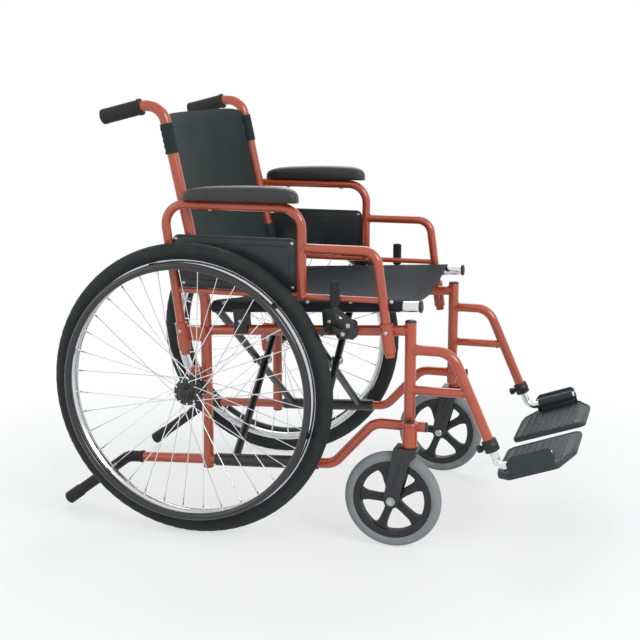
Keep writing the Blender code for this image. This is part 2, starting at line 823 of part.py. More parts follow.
def castor_tyre():
    """Solid tyre, level with the rear tyre on the floor."""
    seat_r = CASTOR_R - CASTOR_TYRE_DEPTH + GAP
    half = CASTOR_SECTION_R * CASTOR_SEAT_SHARE
    profile = tyre_profile(CASTOR_R, CASTOR_SECTION_R, seat_r, half, CASTOR_SEGMENTS, 5)
    return moved(turned(profile, CASTOR_SEGMENTS, True), Matrix.Translation(castor_centre()))


def castor_wheel():
    """Rim and hub joined by flat moulded spokes."""
    rim_r = CASTOR_R - CASTOR_TYRE_DEPTH
    rim_in = rim_r - CASTOR_RIM_T
    half = CASTOR_SECTION_R * CASTOR_SEAT_SHARE
    taper = half - CASTOR_RIM_TAPER
    rim = [(rim_r, half), (rim_r, -half), (rim_in, -taper), (rim_in, taper)]
    hole = bore(AXLE_R, GAP, HUB_SEGMENTS)
    hub_half = CASTOR_SECTION_R + BLADE_GAP - PIVOT_GAP
    hub_end = CASTOR_HUB_R * CASTOR_HUB_END
    hub = [
        (hole, -hub_half),
        (hub_end, -hub_half),
        (CASTOR_HUB_R, -half),
        (CASTOR_HUB_R, half),
        (hub_end, hub_half),
        (hole, hub_half),
    ]
    shapes = [turned(rim, CASTOR_SEGMENTS, True), turned(hub, HUB_SEGMENTS, True)]
    length = rim_in - CASTOR_HUB_R + 2 * CASTOR_SPOKE_ROOT
    middle = (0, (CASTOR_HUB_R + rim_in) / 2, 0)
    for index in range(CASTOR_SPOKES):
        angle = 2 * math.pi * (index + CASTOR_TURN) / CASTOR_SPOKES
        spoke = block(middle, (half * CASTOR_SPOKE_SHARE, length, 2 * CASTOR_SPOKE_HALF))
        shapes.append(moved(spoke, Matrix.Rotation(angle, 4, "X")))
    return moved(fuse(shapes), Matrix.Translation(castor_centre()))


def castor_fork():
    """Crown over the wheel, a blade down each side and the stem above."""
    inside = CASTOR_SECTION_R + BLADE_GAP
    front_y = STEM_Y - CROWN_HALF_WIDTH
    rear_y = CASTOR_Y - CROWN_REAR
    crown_top = CROWN_Z + CROWN_T
    shoulder_z = CASTOR_R + BLADE_RISE
    tip_z = CASTOR_R - BLADE_TIP_DROP
    outline = [
        (front_y, CROWN_Z),
        (front_y, crown_top),
        (rear_y, crown_top),
        (CASTOR_Y + BLADE_WIDTH, shoulder_z),
        (CASTOR_Y + BLADE_TIP_WIDTH, tip_z),
        (CASTOR_Y - BLADE_TIP_WIDTH, tip_z),
        (CASTOR_Y - BLADE_WIDTH, shoulder_z),
    ]
    low = CASTOR_X - inside - BLADE_T
    high = CASTOR_X + inside + BLADE_T
    foot = (CASTOR_X, STEM_Y, CROWN_Z + STEM_IN_CROWN)
    top = (CASTOR_X, STEM_Y, HOUSING_Z + STEM_LENGTH)
    window_y = (front_y - 0.02, CASTOR_Y + 0.04)
    window_z = (tip_z - 0.02, CROWN_Z + 0.0001)
    window = [
        (window_y[0], window_z[0]),
        (window_y[0], window_z[1]),
        (window_y[1], window_z[1]),
        (window_y[1], window_z[0]),
    ]
    axle = castor_centre()
    reach = X_AXIS * (inside + BLADE_T + 0.01)
    cut = [
        slab(window, CASTOR_X - inside, CASTOR_X + inside),
        bar(axle - reach, axle + reach, bore(AXLE_R, GAP)),
    ]
    return fuse([slab(outline, low, high), bar(foot, top, STEM_R)], cut)


def castor_axle():
    """Pin through both blades, with a low head at each end."""
    reach = CASTOR_SECTION_R + BLADE_GAP + BLADE_T + GAP
    edge_r = AXLE_HEAD_R - CASTOR_HEAD_CHAMFER
    face_r = edge_r - CASTOR_HEAD_CHAMFER
    end = reach + CASTOR_HEAD_T
    profile = [(0, -end), (face_r, -end), (edge_r, -reach), (AXLE_R, -reach)]
    profile += [(AXLE_R, reach), (edge_r, reach), (face_r, end), (0, end)]
    return moved(turned(profile, PIN_SIDES, False), Matrix.Translation(castor_centre()))


def castor_cap():
    """Plug in the top of the castor housing."""
    foot = Vector((CASTOR_X, STEM_Y, HOUSING_Z + CAP_FLOOR + GAP))
    return bar(foot, foot + Z_AXIS * CAP_T, CAP_R)


def cross_brace(top):
    """Seat rail on one side, sleeve on the other side's bottom rail, and two legs.

    top is the side of the seat rail: 1 for the left, -1 for the right.
    """
    shift = -top * LEG_SPACING / 2
    rail_x = top * FRAME_X
    rail = [(rail_x, -v, SEAT_RAIL_H) for v in (SEAT_RAIL_REAR, SEAT_RAIL_FRONT)]
    ends = (SLEEVE_REAR, SLEEVE_FRONT)
    past = (SLEEVE_REAR - 0.01, SLEEVE_FRONT + 0.01)
    sleeve = [(-rail_x, -v, BOTTOM_RAIL_H) for v in ends]
    through = [(-rail_x, -v, BOTTOM_RAIL_H) for v in past]
    add = [bar(*rail, SEAT_RAIL_R), bar(*sleeve, RAIL_R + GAP + SLEEVE_WALL)]
    cut = [bar(*through, bore(RAIL_R, GAP))]
    hole_r = bore(PIVOT_R, PIVOT_GAP, PIN_SIDES)
    for v in (REAR_X_V, FRONT_X_V):
        foot = (-rail_x, -v + shift, BOTTOM_RAIL_H)
        head = (rail_x, -v + shift, SEAT_RAIL_H)
        hole = [(0, -v - 0.05, PIVOT_H), (0, -v + 0.05, PIVOT_H)]
        add.append(tube([foot, head], BRACE_LEG_R, Y_AXIS))
        cut.append(bar(*hole, hole_r, PIN_SIDES))
    return moved(fuse(add, cut), RAKED)


def pivot_bolt(v):
    """Rivet through the crossing legs, a head at each end."""
    reach = LEG_SPACING / 2 + BRACE_LEG_R + GAP
    end = reach + PIVOT_HEAD_T
    face_r = PIVOT_HEAD_R - PIVOT_HEAD_CHAMFER
    edge = end - PIVOT_HEAD_CHAMFER
    profile = [(0, -end), (face_r, -end), (PIVOT_HEAD_R, -edge), (PIVOT_HEAD_R, -reach)]
    profile += [(PIVOT_R, -reach), (PIVOT_R, reach)]
    profile += [(PIVOT_HEAD_R, reach), (PIVOT_HEAD_R, edge), (face_r, end), (0, end)]
    place = Matrix.Translation((0, -v, PIVOT_H)) @ Matrix.Rotation(math.pi / 2, 4, "Z")
    return moved(turned(profile, PIN_SIDES, False), RAKED @ place)


def rail_cap():
    """Plug on the front end of the seat rail."""
    lip_r = SEAT_RAIL_R + RAIL_CAP_LIP
    profile = [(0, 0), (lip_r, 0), (lip_r, RAIL_CAP_T * 0.6)]
    profile += [(SEAT_RAIL_R - RAIL_CAP_TAPER, RAIL_CAP_T), (0, RAIL_CAP_T)]
    forward = Matrix.Rotation(-math.pi / 2, 4, "Z")
    place = Matrix.Translation((FRAME_X, -SEAT_RAIL_FRONT - GAP, SEAT_RAIL_H))
    return moved(turned(profile, 12, False), RAKED @ place @ forward)


def saddle(v):
    """Cradle clamped to the upper rail, open at the top for the seat rail."""
    low = UPPER_RAIL_H - SADDLE_GRIP
    high = SEAT_RAIL_H - SADDLE_LOW_LIP
    size = (SADDLE_WIDTH, SADDLE_LENGTH, high - low)
    body = block((FRAME_X, -v, (low + high) / 2), size, SADDLE_EDGE)
    ends = [-v - SADDLE_LENGTH, -v + SADDLE_LENGTH]
    cut = []
    for height, radius in ((UPPER_RAIL_H, RAIL_R), (SEAT_RAIL_H, SEAT_RAIL_R)):
        cut.append(bar(*[(FRAME_X, y, height) for y in ends], radius + GAP))
    return moved(fuse([body], cut), RAKED)


def armrest_frame():
    """Top tube on two legs, a stepped front tube and a low bar between the legs."""
    rear_low, _ = socket_span(rear_leg, REAR_POST_Y)
    front_low, _ = socket_span(front_leg, FRONT_SOCKET_Y)
    upper = [
        rear_low - LEAN * LEG_PAST_SOCKET,
        rear_leg(ARM_TOP_Z),
        (ARM_X, ARM_FRONT_Y, ARM_TOP_Z),
        (ARM_X, ARM_FRONT_Y, ARM_BAR_Z - LEG_PAST_BAR),
    ]
    lower = [
        (ARM_X, ARM_FRONT_Y, ARM_STEP_Z),
        front_leg(ARM_STEP_Z),
        front_low - LEAN * LEG_PAST_SOCKET,
    ]
    rail = [rear_leg(ARM_BAR_Z), front_leg(ARM_BAR_Z)]
    add = [
        tube(fillet(upper, ARM_BEND_R, 4), ARM_R),
        tube(fillet(lower, ARM_STEP_BEND_R, 3), ARM_R * STEP_TUBE_SCALE),
        tube(rail, ARM_BAR_R, X_AXIS, 8),
    ]
    return fuse(add)


def armrest_pad():
    """Upholstered pad: flat below, crowned above, drawn in at its ends."""
    bottom = ARM_TOP_Z + ARM_R + GAP
    verts = []
    for station in range(PAD_STATIONS):
        along = (1 - math.cos(math.pi * station / (PAD_STATIONS - 1))) / 2
        swell = math.sqrt(max(0.0, 1 - abs(2 * along - 1) ** 6))
        half = PAD_WIDTH / 2 * (PAD_END_WIDTH + (1 - PAD_END_WIDTH) * swell)
        height = PAD_THICKNESS * (PAD_END_HEIGHT + (1 - PAD_END_HEIGHT) * swell)
        for step in range(PAD_AROUND):
            angle = 2 * math.pi * (step + 0.5) / PAD_AROUND
            out, up = math.cos(angle), math.sin(angle)
            x = half * math.copysign(abs(out) ** 0.6, out)
            if up > 0:
                z = height * (PAD_SKIRT + (1 - PAD_SKIRT) * up ** 0.8)
            else:
                z = height * PAD_SKIRT * (1 - abs(up) ** 0.35)
            verts.append((PAD_X + x, PAD_BACK_Y - PAD_LENGTH * along, bottom + z))
    return mesh_from(verts, loft_faces(PAD_STATIONS, PAD_AROUND))


def side_panel():
    """Clothes guard in the armrest's rear window, in the plane of its tubes."""
    edge = ARM_R + GAP
    floor_z = ARM_BAR_Z + ARM_BAR_R + GAP
    side = edge / math.cos(ARM_LEAN)
    outline = [
        (rear_leg(floor_z).y - side, floor_z),
        (rear_leg(PANEL_TOP_Z).y - side, PANEL_TOP_Z),
        (ARM_FRONT_Y + edge, PANEL_TOP_Z),
        (ARM_FRONT_Y + edge, floor_z),
    ]
    return slab(outline, ARM_X - PANEL_T / 2, ARM_X + PANEL_T / 2)


def seat_section():
    """Half of the sling's cross-section: (x, top z, bottom z) from its middle out."""
    inner = SEAT_RAIL_R + GAP
    outer = inner + SEAT_WRAP
    rows = []
    for step in range(SEAT_SPANS):
        x = FRAME_X * step / SEAT_SPANS
        dip = SEAT_SAG * (1 - (x / FRAME_X) ** 2) ** 1.5
        crown = SEAT_SHEET * (1 - (x / FRAME_X) ** 6)
        rows.append((x, SEAT_RAIL_H + outer - dip + crown, x, SEAT_RAIL_H + inner - dip))
    for step in range(5):
        angle = math.pi / 2 * (1 - step / 4)
        out, up = math.cos(angle), math.sin(angle)
        top = (FRAME_X + outer * out, SEAT_RAIL_H + outer * up)
        rows.append((*top, FRAME_X + inner * out / math.cos(math.pi / 16), SEAT_RAIL_H + inner * up))
    return rows


def seat_upholstery():
    """Sling over both seat rails, sagging between them, in the raked frame."""
    half = seat_section()
    loop = [(x, z) for x, z, _, _ in half]
    loop += [(x, z) for _, _, x, z in reversed(half)]
    loop += [(-x, z) for _, _, x, z in half[1:]]
    loop += [(-x, z) for x, z, _, _ in reversed(half[1:])]
    verts = []
    for station in range(SEAT_STATIONS):
        v = SEAT_REAR + (SEAT_FRONT - SEAT_REAR) * station / (SEAT_STATIONS - 1)
        verts += [(x, -v, z) for x, z in loop]
    return moved(mesh_from(verts, loft_faces(SEAT_STATIONS, len(loop))), RAKED)


def cane_frame():
    """Axes of the backrest: X across, Y square to the canes and back, Z up the canes."""
    back = CANE.cross(X_AXIS)
    back = -back if back.y < 0 else back
    columns = Matrix((X_AXIS, back, CANE)).transposed().to_4x4()
    return Matrix.Translation((0, CANE_START.y, CANE_START.z)) @ columns


def back_upholstery():
    """Padded sling between the canes, with sleeves that wrap them top and bottom."""
    spans = BACK_SPANS
    levels = BACK_LEVELS
    sleeve_r = POST_R + GAP + BACK_SLEEVE_WALL
    front = []
    for row in range(levels + 1):
        height = BACK_BOTTOM + (BACK_TOP - BACK_BOTTOM) * row / levels
        for column in range(spans + 1):
            u = 2 * column / spans - 1
            half = FRAME_X - BACK_INSET
            depth = BACK_SAG * (1 - (u * half / FRAME_X) ** 2)
            front.append((u * half, depth, height))
    count = len(front)
    verts = []
    for offset in (-BACK_T / 2, BACK_T / 2):
        verts += [(x, y + offset, z) for x, y, z in front]
    faces = []
    wide = spans + 1
    for row in range(levels):
        for column in range(spans):
            a = row * wide + column
            quad = (a, a + 1, a + wide + 1, a + wide)
            faces.append(quad)
            faces.append(tuple(count + v for v in reversed(quad)))
    rim = list(range(wide))
    rim += [row * wide + spans for row in range(1, levels + 1)]
    rim += [levels * wide + column for column in range(spans - 1, -1, -1)]
    rim += [row * wide for row in range(levels - 1, 0, -1)]
    for here, after in zip(rim, rim[1:] + rim[:1]):
        faces.append((here, after, count + after, count + here))
    shapes = [mesh_from(verts, faces)]
    cut = []
    edge_y = BACK_SAG * (1 - ((FRAME_X - BACK_INSET) / FRAME_X) ** 2)
    for side in (-1, 1):
        cane_x = side * FRAME_X
        seam_x = side * (FRAME_X - BACK_INSET - 0.006)
        wing = [(seam_x, edge_y - 0.001), (seam_x, edge_y + 0.0025)]
        wing += [(cane_x, sleeve_r - 0.002), (cane_x, 0)]
        for low, high in (SLEEVE_TOP, SLEEVE_LOW):
            through = [(cane_x, 0, low - 0.01), (cane_x, 0, high + 0.01)]
            shapes.append(bar((cane_x, 0, low), (cane_x, 0, high), sleeve_r))
            shapes.append(slab(wing, low, high, "XY"))
            cut.append(bar(*through, POST_R + GAP))
    return moved(fuse(shapes, cut), cane_frame())


def plate_frame():
    """Footplate axes: X inwards from the hinge, Y towards the toe, Z up from the plate."""
    up = Vector((0, math.sin(TOE_UP), math.cos(TOE_UP)))
    columns = Matrix((-X_AXIS, TOE, up)).transposed().to_4x4()
    return Matrix.Translation(HINGE) @ columns


def footplate():
    """Ribbed plate hung under its hinge barrel, with a raised outer wall."""
    knuckle_r = BAR_R + SLIDE_GAP + KNUCKLE_WALL
    top = -PLATE_DROP
    outline = [
        (-PLATE_OUTER, 0.030),
        (0.020, 0.004),
        (0.050, 0.0),
        (PLATE_REACH - 0.012, 0.0),
        (PLATE_REACH, 0.012),
        (PLATE_REACH, PLATE_DEPTH - 0.010),
        (PLATE_REACH - 0.010, PLATE_DEPTH),
        (0.060, PLATE_DEPTH),
        (-PLATE_OUTER, PLATE_DEPTH - 0.030),
    ]
    shapes = [slab(outline, top - PLATE_THICKNESS, top, "XY")]
    rib_x = (RIB_INNER + PLATE_REACH - RIB_OUTER) / 2
    rib_z = top + RIB_HEIGHT / 2 - RIB_SINK
    rib = (PLATE_REACH - RIB_OUTER - RIB_INNER, RIB_WIDTH, RIB_HEIGHT + 2 * RIB_SINK)
    for index in range(RIB_COUNT):
        y = RIB_REAR + index * (PLATE_DEPTH - RIB_REAR - RIB_FRONT) / (RIB_COUNT - 1)
        shapes.append(block((rib_x, y, rib_z), rib))
    wall_low = top - PLATE_THICKNESS + 0.001
    wall_high = knuckle_r + WALL_RISE
    wall = (OUTER_WALL_T, WALL_END - WALL_START, wall_high - wall_low)
    wall_x = OUTER_WALL_T / 2 - PLATE_OUTER
    shapes.append(block((wall_x, (WALL_START + WALL_END) / 2, (wall_high + wall_low) / 2), wall))
    last = KNUCKLE_END - KNUCKLE_SHORT
    shapes.append(bar((0, KNUCKLE_START, 0), (0, last, 0), knuckle_r))
    web_x = knuckle_r - HINGE_WEB_T / 2 - HINGE_WEB_INSET
    web_y = (KNUCKLE_START + last) / 2
    web = (HINGE_WEB_T, last - KNUCKLE_START - 2 * HINGE_WEB_INSET, PLATE_DROP + HINGE_WEB_INSET)
    shapes.append(block((web_x, web_y, -PLATE_DROP / 2), web))
    through = [(0, KNUCKLE_START - 0.01, 0), (0, KNUCKLE_END + 0.01, 0)]
    cut = [bar(*through, bore(BAR_R, SLIDE_GAP))]
    return moved(fuse(shapes, cut), plate_frame())


def footrest_tube():
    """Extension that slides in the hanger and bends forwards into the plate's hinge."""
    end = hanger_end()
    inside = end - HANGER_DOWN * EXTENSION_INSIDE
    up = plate_frame().col[2].to_3d()
    reach = (HINGE - end).dot(up) / HANGER_DOWN.dot(up)
    corner = end + HANGER_DOWN * reach
    corner_b = (corner - HINGE).dot(TOE)
    tip = corner + TOE * (KNUCKLE_END - corner_b)
    return tube(fillet([inside, corner, tip], HINGE_BEND_R, 5), BAR_R)


def hanger_clamp():
    """Collar round the hanger's lower end, with a locking knob behind."""
    end = hanger_end()
    top = end - HANGER_DOWN * CLAMP_HEIGHT
    middle = (end + top) / 2
    back = X_AXIS.cross(HANGER_DOWN).normalized()
    back = -back if back.y < 0 else back
    root = middle + back * (RAIL_R + CLAMP_KNOB_ROOT)
    tip = middle + back * (RAIL_R + CLAMP_KNOB_REACH)
    shapes = [
        bar(end, top, RAIL_R + GAP + CLAMP_WALL),
        bar(root, tip, CLAMP_KNOB_R, 10),
    ]
    past = HANGER_DOWN * 0.01
    return fuse(shapes, [bar(end + past, top - past, RAIL_R + GAP)])


def lock_bracket():
    """Clamp on the upper rail, with a plate and two pins for the lever and the shoe."""
    front = LOCK_Y - LOCK_PLATE_HALF
    rear = LOCK_Y + LOCK_PLATE_HALF
    rail = rail_z(UPPER_RAIL_H, LOCK_Y)
    body = block((FRAME_X + LOCK_BODY_SHIFT, LOCK_Y, rail), LOCK_BODY, 0.002)
    outline = [
        (front, rail - LOCK_PLATE_FRONT_LOW),
        (front, rail + LOCK_PLATE_TOP),
        (rear, rail + LOCK_PLATE_TOP),
        (rear, rail - LOCK_PLATE_REAR_LOW),
    ]
    shapes = [body, slab(outline, LOCK_PLATE_X, LOCK_PLATE_X + LOCK_PLATE_T)]
    root = LOCK_PLATE_X + LOCK_PLATE_T / 2
    lever_pin = LOCK_LEVER_X + LOCK_PLATE_T + 0.003
    shoe_pin = LOCK_SHOE_X + LOCK_PLATE_T + 0.008
    for (y, z), tip in ((LOCK_PIVOT, lever_pin), (SHOE_PIVOT, shoe_pin)):
        shapes.append(bar((root, y, z), (tip, y, z), LOCK_PIN_R, PIN_SIDES))
    ends = [(FRAME_X, y, rail_z(UPPER_RAIL_H, y)) for y in (LOCK_Y - 0.03, LOCK_Y + 0.03)]
    return fuse(shapes, [bar(*ends, RAIL_R + GAP)])


def pin_hole(x, pivot):
    """Cutter for a wheel lock's pin, along X."""
    ends = [(x - 0.02, *pivot), (x + 0.02, *pivot)]
    return bar(*ends, bore(LOCK_PIN_R, GAP, PIN_SIDES), PIN_SIDES)


def lock_lever():
    """Flat hand lever, wide at its pivot and narrow inside its grip."""
    (py, pz), (ty, tz) = LOCK_PIVOT, LOCK_TIP
    grip_z = tz - LOCK_GRIP_LENGTH
    outline = [
        (py - LEVER_ROOT, pz - LEVER_ROOT_LOW),
        (py + LEVER_ROOT, pz - LEVER_ROOT_LOW),
        (py + LEVER_SHOULDER, pz + LEVER_ROOT),
        (ty + LEVER_STEM, grip_z),
        (ty + LEVER_TIP, tz),
        (ty - LEVER_TIP, tz),
        (ty - LEVER_STEM, grip_z),
        (py - LEVER_ROOT, pz + LEVER_SHOULDER),
    ]
    plate = slab(outline, LOCK_LEVER_X, LOCK_LEVER_X + LOCK_PLATE_T)
    return fuse([plate], [pin_hole(LOCK_LEVER_X, LOCK_PIVOT)])


def lock_grip():
    """Flattened rubber grip pushed over the lever's tip, clear of the armrest inside."""
    (ty, tz) = LOCK_TIP
    x = LOCK_LEVER_X + LOCK_PLATE_T / 2
    middle = tz - LOCK_GRIP_LENGTH / 2
    width, depth = LOCK_GRIP_BODY
    centre = (x + LOCK_GRIP_SHIFT, ty, middle + LOCK_GRIP_END)
    body = block(centre, (width, depth, LOCK_GRIP_LENGTH), LOCK_GRIP_EDGE)
    slot_size = (LOCK_PLATE_T + 2 * GAP, LOCK_GRIP_SLOT, LOCK_GRIP_LENGTH + 0.01)
    slot = block((x, ty, middle - 0.005 + GAP), slot_size)
    return fuse([body], [slot])


def shoe_place():
    """Shoe bar's centre, clear of the tyre by SHOE_CLEARANCE."""
    rise = SHOE_LEVEL - WHEEL_R
    reach = math.sqrt((WHEEL_R + SHOE_CLEARANCE + SHOE_R) ** 2 - rise ** 2)
    return AXLE_Y - reach, SHOE_LEVEL


def lock_shoe():
    """Bar that presses on the tyre, on a short arm that turns about its pin."""
    pivot = Vector((0, *SHOE_PIVOT))
    shoe = Vector((0, *shoe_place()))
    along = (shoe - pivot).normalized()
    square = X_AXIS.cross(along)
    root = pivot - along * SHOE_ARM_ROOT
    tip = shoe + along * SHOE_ARM_TIP
    corners = [
        root + square * SHOE_ARM_ROOT,
        root - square * SHOE_ARM_ROOT,
        tip - square * SHOE_ARM_TIP,
        tip + square * SHOE_ARM_TIP,
    ]
    outline = [(p.y, p.z) for p in corners]
    arm = slab(outline, LOCK_SHOE_X, LOCK_SHOE_X + LOCK_PLATE_T)
    ends = (LOCK_SHOE_X + 0.001, WHEEL_X + TYRE_R)
    pad = bar(*[(x, shoe.y, shoe.z) for x in ends], SHOE_R, 12)
    return fuse([arm, pad], [pin_hole(LOCK_SHOE_X, SHOE_PIVOT)])


def build():
    clear_scene()
    axle = (WHEEL_X, AXLE_Y, WHEEL_R)
    castor = tuple(castor_centre())
    stem = (CASTOR_X, STEM_Y, CASTOR_R)
    add_pair("side_frame", side_frame(), "frame_red")
    add_pair("push_handle_grip", push_grip(), "black_rubber")
    add_pair("tipping_lever_grip", lever_grip(), "black_rubber")
    add_pair("rear_tyre", rear_tyre(), "tyre_black", axle)
    add_pair("rear_rim", rear_rim(), "chrome", axle)
    add_pair("spoked_hub", spoked_hub(), "chrome", axle)
    add_pair("handrim", handrim(), "satin_black", axle)
    add_pair("rear_axle", rear_axle(), "chrome", axle)
    add_pair("castor_fork", castor_fork(), "satin_black", stem)
    add_pair("castor_wheel", castor_wheel(), "black_plastic", castor)
    add_pair("castor_tyre", castor_tyre(), "grey_rubber", castor)
    add_pair("castor_axle", castor_axle(), "chrome", castor)
    add_pair("castor_cap", castor_cap(), "black_plastic")
    foot_a = tuple(on_rail(-FRAME_X, 0, BOTTOM_RAIL_H))
    add_node("cross_brace_a", cross_brace(1), "satin_black", foot_a)
    middle = tuple(on_rail(0, 0, PIVOT_H))
    add_node("cross_brace_b", cross_brace(-1), "satin_black", middle)
    add_node("pivot_bolt_rear", pivot_bolt(REAR_X_V), "chrome", middle)
    add_node("pivot_bolt_front", pivot_bolt(FRONT_X_V), "chrome", middle)
    add_pair("seat_rail_cap", rail_cap(), "black_plastic")
    add_pair("rear_saddle", saddle(SADDLE_V[0]), "black_plastic")
    add_pair("front_saddle", saddle(SADDLE_V[1]), "black_plastic")
    add_pair("armrest_frame", armrest_frame(), "frame_red")
    add_pair("armrest_pad", armrest_pad(), "pad_black")
    add_pair("side_panel", side_panel(), "black_plastic")
    add_node("seat_upholstery", seat_upholstery(), "dark_fabric")
    add_node("back_upholstery", back_upholstery(), "dark_fabric")
    add_pair("footrest_tube", footrest_tube(), "chrome")
    add_pair("footplate", footplate(), "black_plastic", tuple(HINGE))
    add_pair("hanger_clamp", hanger_clamp(), "black_plastic")
    add_pair("wheel_lock_bracket", lock_bracket(), "satin_black")
    add_pair("wheel_lock_lever", lock_lever(), "satin_black", (ARM_X, *LOCK_PIVOT))
    add_pair("wheel_lock_grip", lock_grip(), "black_rubber", (ARM_X, *LOCK_PIVOT))
    add_pair("wheel_lock_shoe", lock_shoe(), "satin_black", (ARM_X, *SHOE_PIVOT))


build()
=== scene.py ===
from math import asin, copysign, cos, degrees, exp, pi, radians, sin, sqrt, tan

import bmesh
import bpy
from mathutils import Matrix, Quaternion, Vector, noise


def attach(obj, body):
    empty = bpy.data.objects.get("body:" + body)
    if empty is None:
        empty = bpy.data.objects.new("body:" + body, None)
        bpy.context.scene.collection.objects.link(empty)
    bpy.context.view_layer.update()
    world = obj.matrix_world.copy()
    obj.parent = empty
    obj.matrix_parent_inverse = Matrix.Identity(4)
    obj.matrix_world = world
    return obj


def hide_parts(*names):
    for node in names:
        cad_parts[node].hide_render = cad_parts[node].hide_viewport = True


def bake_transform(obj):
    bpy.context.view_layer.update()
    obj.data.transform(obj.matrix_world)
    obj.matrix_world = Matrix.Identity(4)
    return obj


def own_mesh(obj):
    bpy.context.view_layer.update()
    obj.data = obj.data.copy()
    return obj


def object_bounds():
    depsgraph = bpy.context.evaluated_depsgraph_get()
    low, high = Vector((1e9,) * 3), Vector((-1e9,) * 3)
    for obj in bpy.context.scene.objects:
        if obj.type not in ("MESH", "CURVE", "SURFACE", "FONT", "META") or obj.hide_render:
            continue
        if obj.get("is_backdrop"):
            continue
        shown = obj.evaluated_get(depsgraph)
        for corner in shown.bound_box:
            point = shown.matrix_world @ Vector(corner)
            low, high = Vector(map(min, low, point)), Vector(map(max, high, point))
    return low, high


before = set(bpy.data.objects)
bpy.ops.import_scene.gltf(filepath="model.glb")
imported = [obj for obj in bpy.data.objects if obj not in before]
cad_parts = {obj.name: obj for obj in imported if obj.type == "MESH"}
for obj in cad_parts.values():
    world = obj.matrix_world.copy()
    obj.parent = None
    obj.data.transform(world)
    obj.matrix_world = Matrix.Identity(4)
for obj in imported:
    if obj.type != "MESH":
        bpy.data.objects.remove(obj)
cad_low, cad_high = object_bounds()

# Sizes shared with the solids, in metres
GAP = 0.0003
POST_R, RAIL_R, BRACE_R, ARM_R, BAR_R = 0.0115, 0.0105, 0.009, 0.0095, 0.008
FRAME_X, AXLE_Y = 0.230, 0.224
RAKE = radians(3.3)
REAR_POST_Y, FRONT_POST_Y = AXLE_Y - 0.014, AXLE_Y - 0.448
BOTTOM_RAIL_H, UPPER_RAIL_H, SEAT_RAIL_H = 0.139, 0.419, 0.467
PIVOT_H = (BOTTOM_RAIL_H + SEAT_RAIL_H) / 2
SEAT_RAIL_R = 0.011
WHEEL_R, WHEEL_X, TYRE_R = 0.305, 0.287, 0.0175
RIM_OUTER_R, RIM_INNER_R, RIM_HALF = 0.2722, 0.2582, 0.0125
HANDRIM_R, HANDRIM_X, HANDRIM_BAR_R = 0.262, 0.320, 0.0075
HUB_HALF, BOSS_HALF = 0.032, 0.0125
CASTOR_R, CASTOR_X, CASTOR_TURN = 0.100, 0.247, 0.05
STEM_Y, CASTOR_Y = AXLE_Y - 0.453, AXLE_Y - 0.420
CROWN_Z, CROWN_T = 0.204, 0.008
HOUSING_Z = CROWN_Z + CROWN_T + 0.0005
ARM_X, ARM_TOP_Z, ARM_STEP_Z, ARM_BAR_Z = 0.254, 0.683, 0.604, 0.507
ARM_REAR_Y, ARM_FRONT_Y, ARM_STEP_Y = AXLE_Y + 0.066, AXLE_Y - 0.230, AXLE_Y - 0.383
ARM_LEAN = radians(8)
SLOPE, TOE_UP = radians(24), radians(19.5)
HANGER_TOP_Z, HANGER_BRACE_Z = 0.407, 0.325
FRONT_RAIL_Z = 0.250
SOCKET_GUESS_Y = FRONT_POST_Y + 0.04


def vec(x, y, z):
    return Vector((x, y, z))


def beside(y, z):
    """A point in the middle plane of the left frame."""
    return vec(FRAME_X, y, z)


X, Y, Z = vec(1, 0, 0), vec(0, 1, 0), vec(0, 0, 1)
RAKED = Matrix.Translation((0, AXLE_Y, 0)) @ Matrix.Rotation(-RAKE, 4, "X")
LEAN = vec(0, sin(ARM_LEAN), cos(ARM_LEAN))
TOE = vec(0, -cos(TOE_UP), sin(TOE_UP))
DOWN = vec(0, -sin(SLOPE), -cos(SLOPE))
HINGE = beside(AXLE_Y - 0.6143, 0.1745)
HANGER_END = beside(AXLE_Y - 0.617, 0.213)
MIRROR = Matrix.Scale(-1, 4, X)


# Shape building

class Shape:
    """Collects parts of one mesh. Each part has a material index."""

    def __init__(self):
        self.verts, self.faces, self.mats = [], [], []

    def add(self, verts, faces, mat=0, matrix=None):
        base = len(self.verts)
        self.verts += [matrix @ Vector(v) if matrix else Vector(v) for v in verts]
        self.faces += [tuple(base + i for i in f) for f in faces]
        self.mats += [mat] * len(faces)
        return self

    def mesh(self, name, mirror=False):
        mesh = bpy.data.meshes.new(name)
        flip = MIRROR if mirror else Matrix()
        mesh.from_pydata([tuple(flip @ v) for v in self.verts], [], self.faces)
        mesh.polygons.foreach_set("material_index", self.mats)
        made = bmesh.new()
        made.from_mesh(mesh)
        bmesh.ops.recalc_face_normals(made, faces=made.faces)
        made.to_mesh(mesh)
        made.free()
        return mesh


def make(name, shape, materials, body="", node="", mirror=False, sharp=40):
    """An object from a shape; body and node may be empty."""
    mesh = shape.mesh(name, mirror)
    for m in materials:
        mesh.materials.append(m)
    mesh.shade_smooth()
    mesh.set_sharp_from_angle(angle=radians(sharp))
    piece = bpy.data.objects.new(name, mesh)
    bpy.context.scene.collection.objects.link(piece)
    if body:
        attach(piece, body)
    if node:
        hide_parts(node)
    return piece


def pair(name, shape, materials, body, node, sharp=40):
    """A piece on +X and its mirror image; %s in the body's name is the side."""
    made = []
    for side, mirror in (("left", False), ("right", True)):
        stands_for = node and f"{node}_{side}"
        made.append(make(f"{name}_{side}", shape, materials, body % side, stands_for, mirror, sharp))
    return made


def circle(count, shift=0.0):
    """Cosine and sine of evenly spaced angles round a full turn, from shift steps on."""
    angles = [2 * pi * (k + shift) / count for k in range(count)]
    return [(cos(a), sin(a)) for a in angles]


def mirrored(half):
    """A profile followed by its mirror image, whose second values have the other sign."""
    return half + [(r, -x) for r, x in reversed(half) if x]


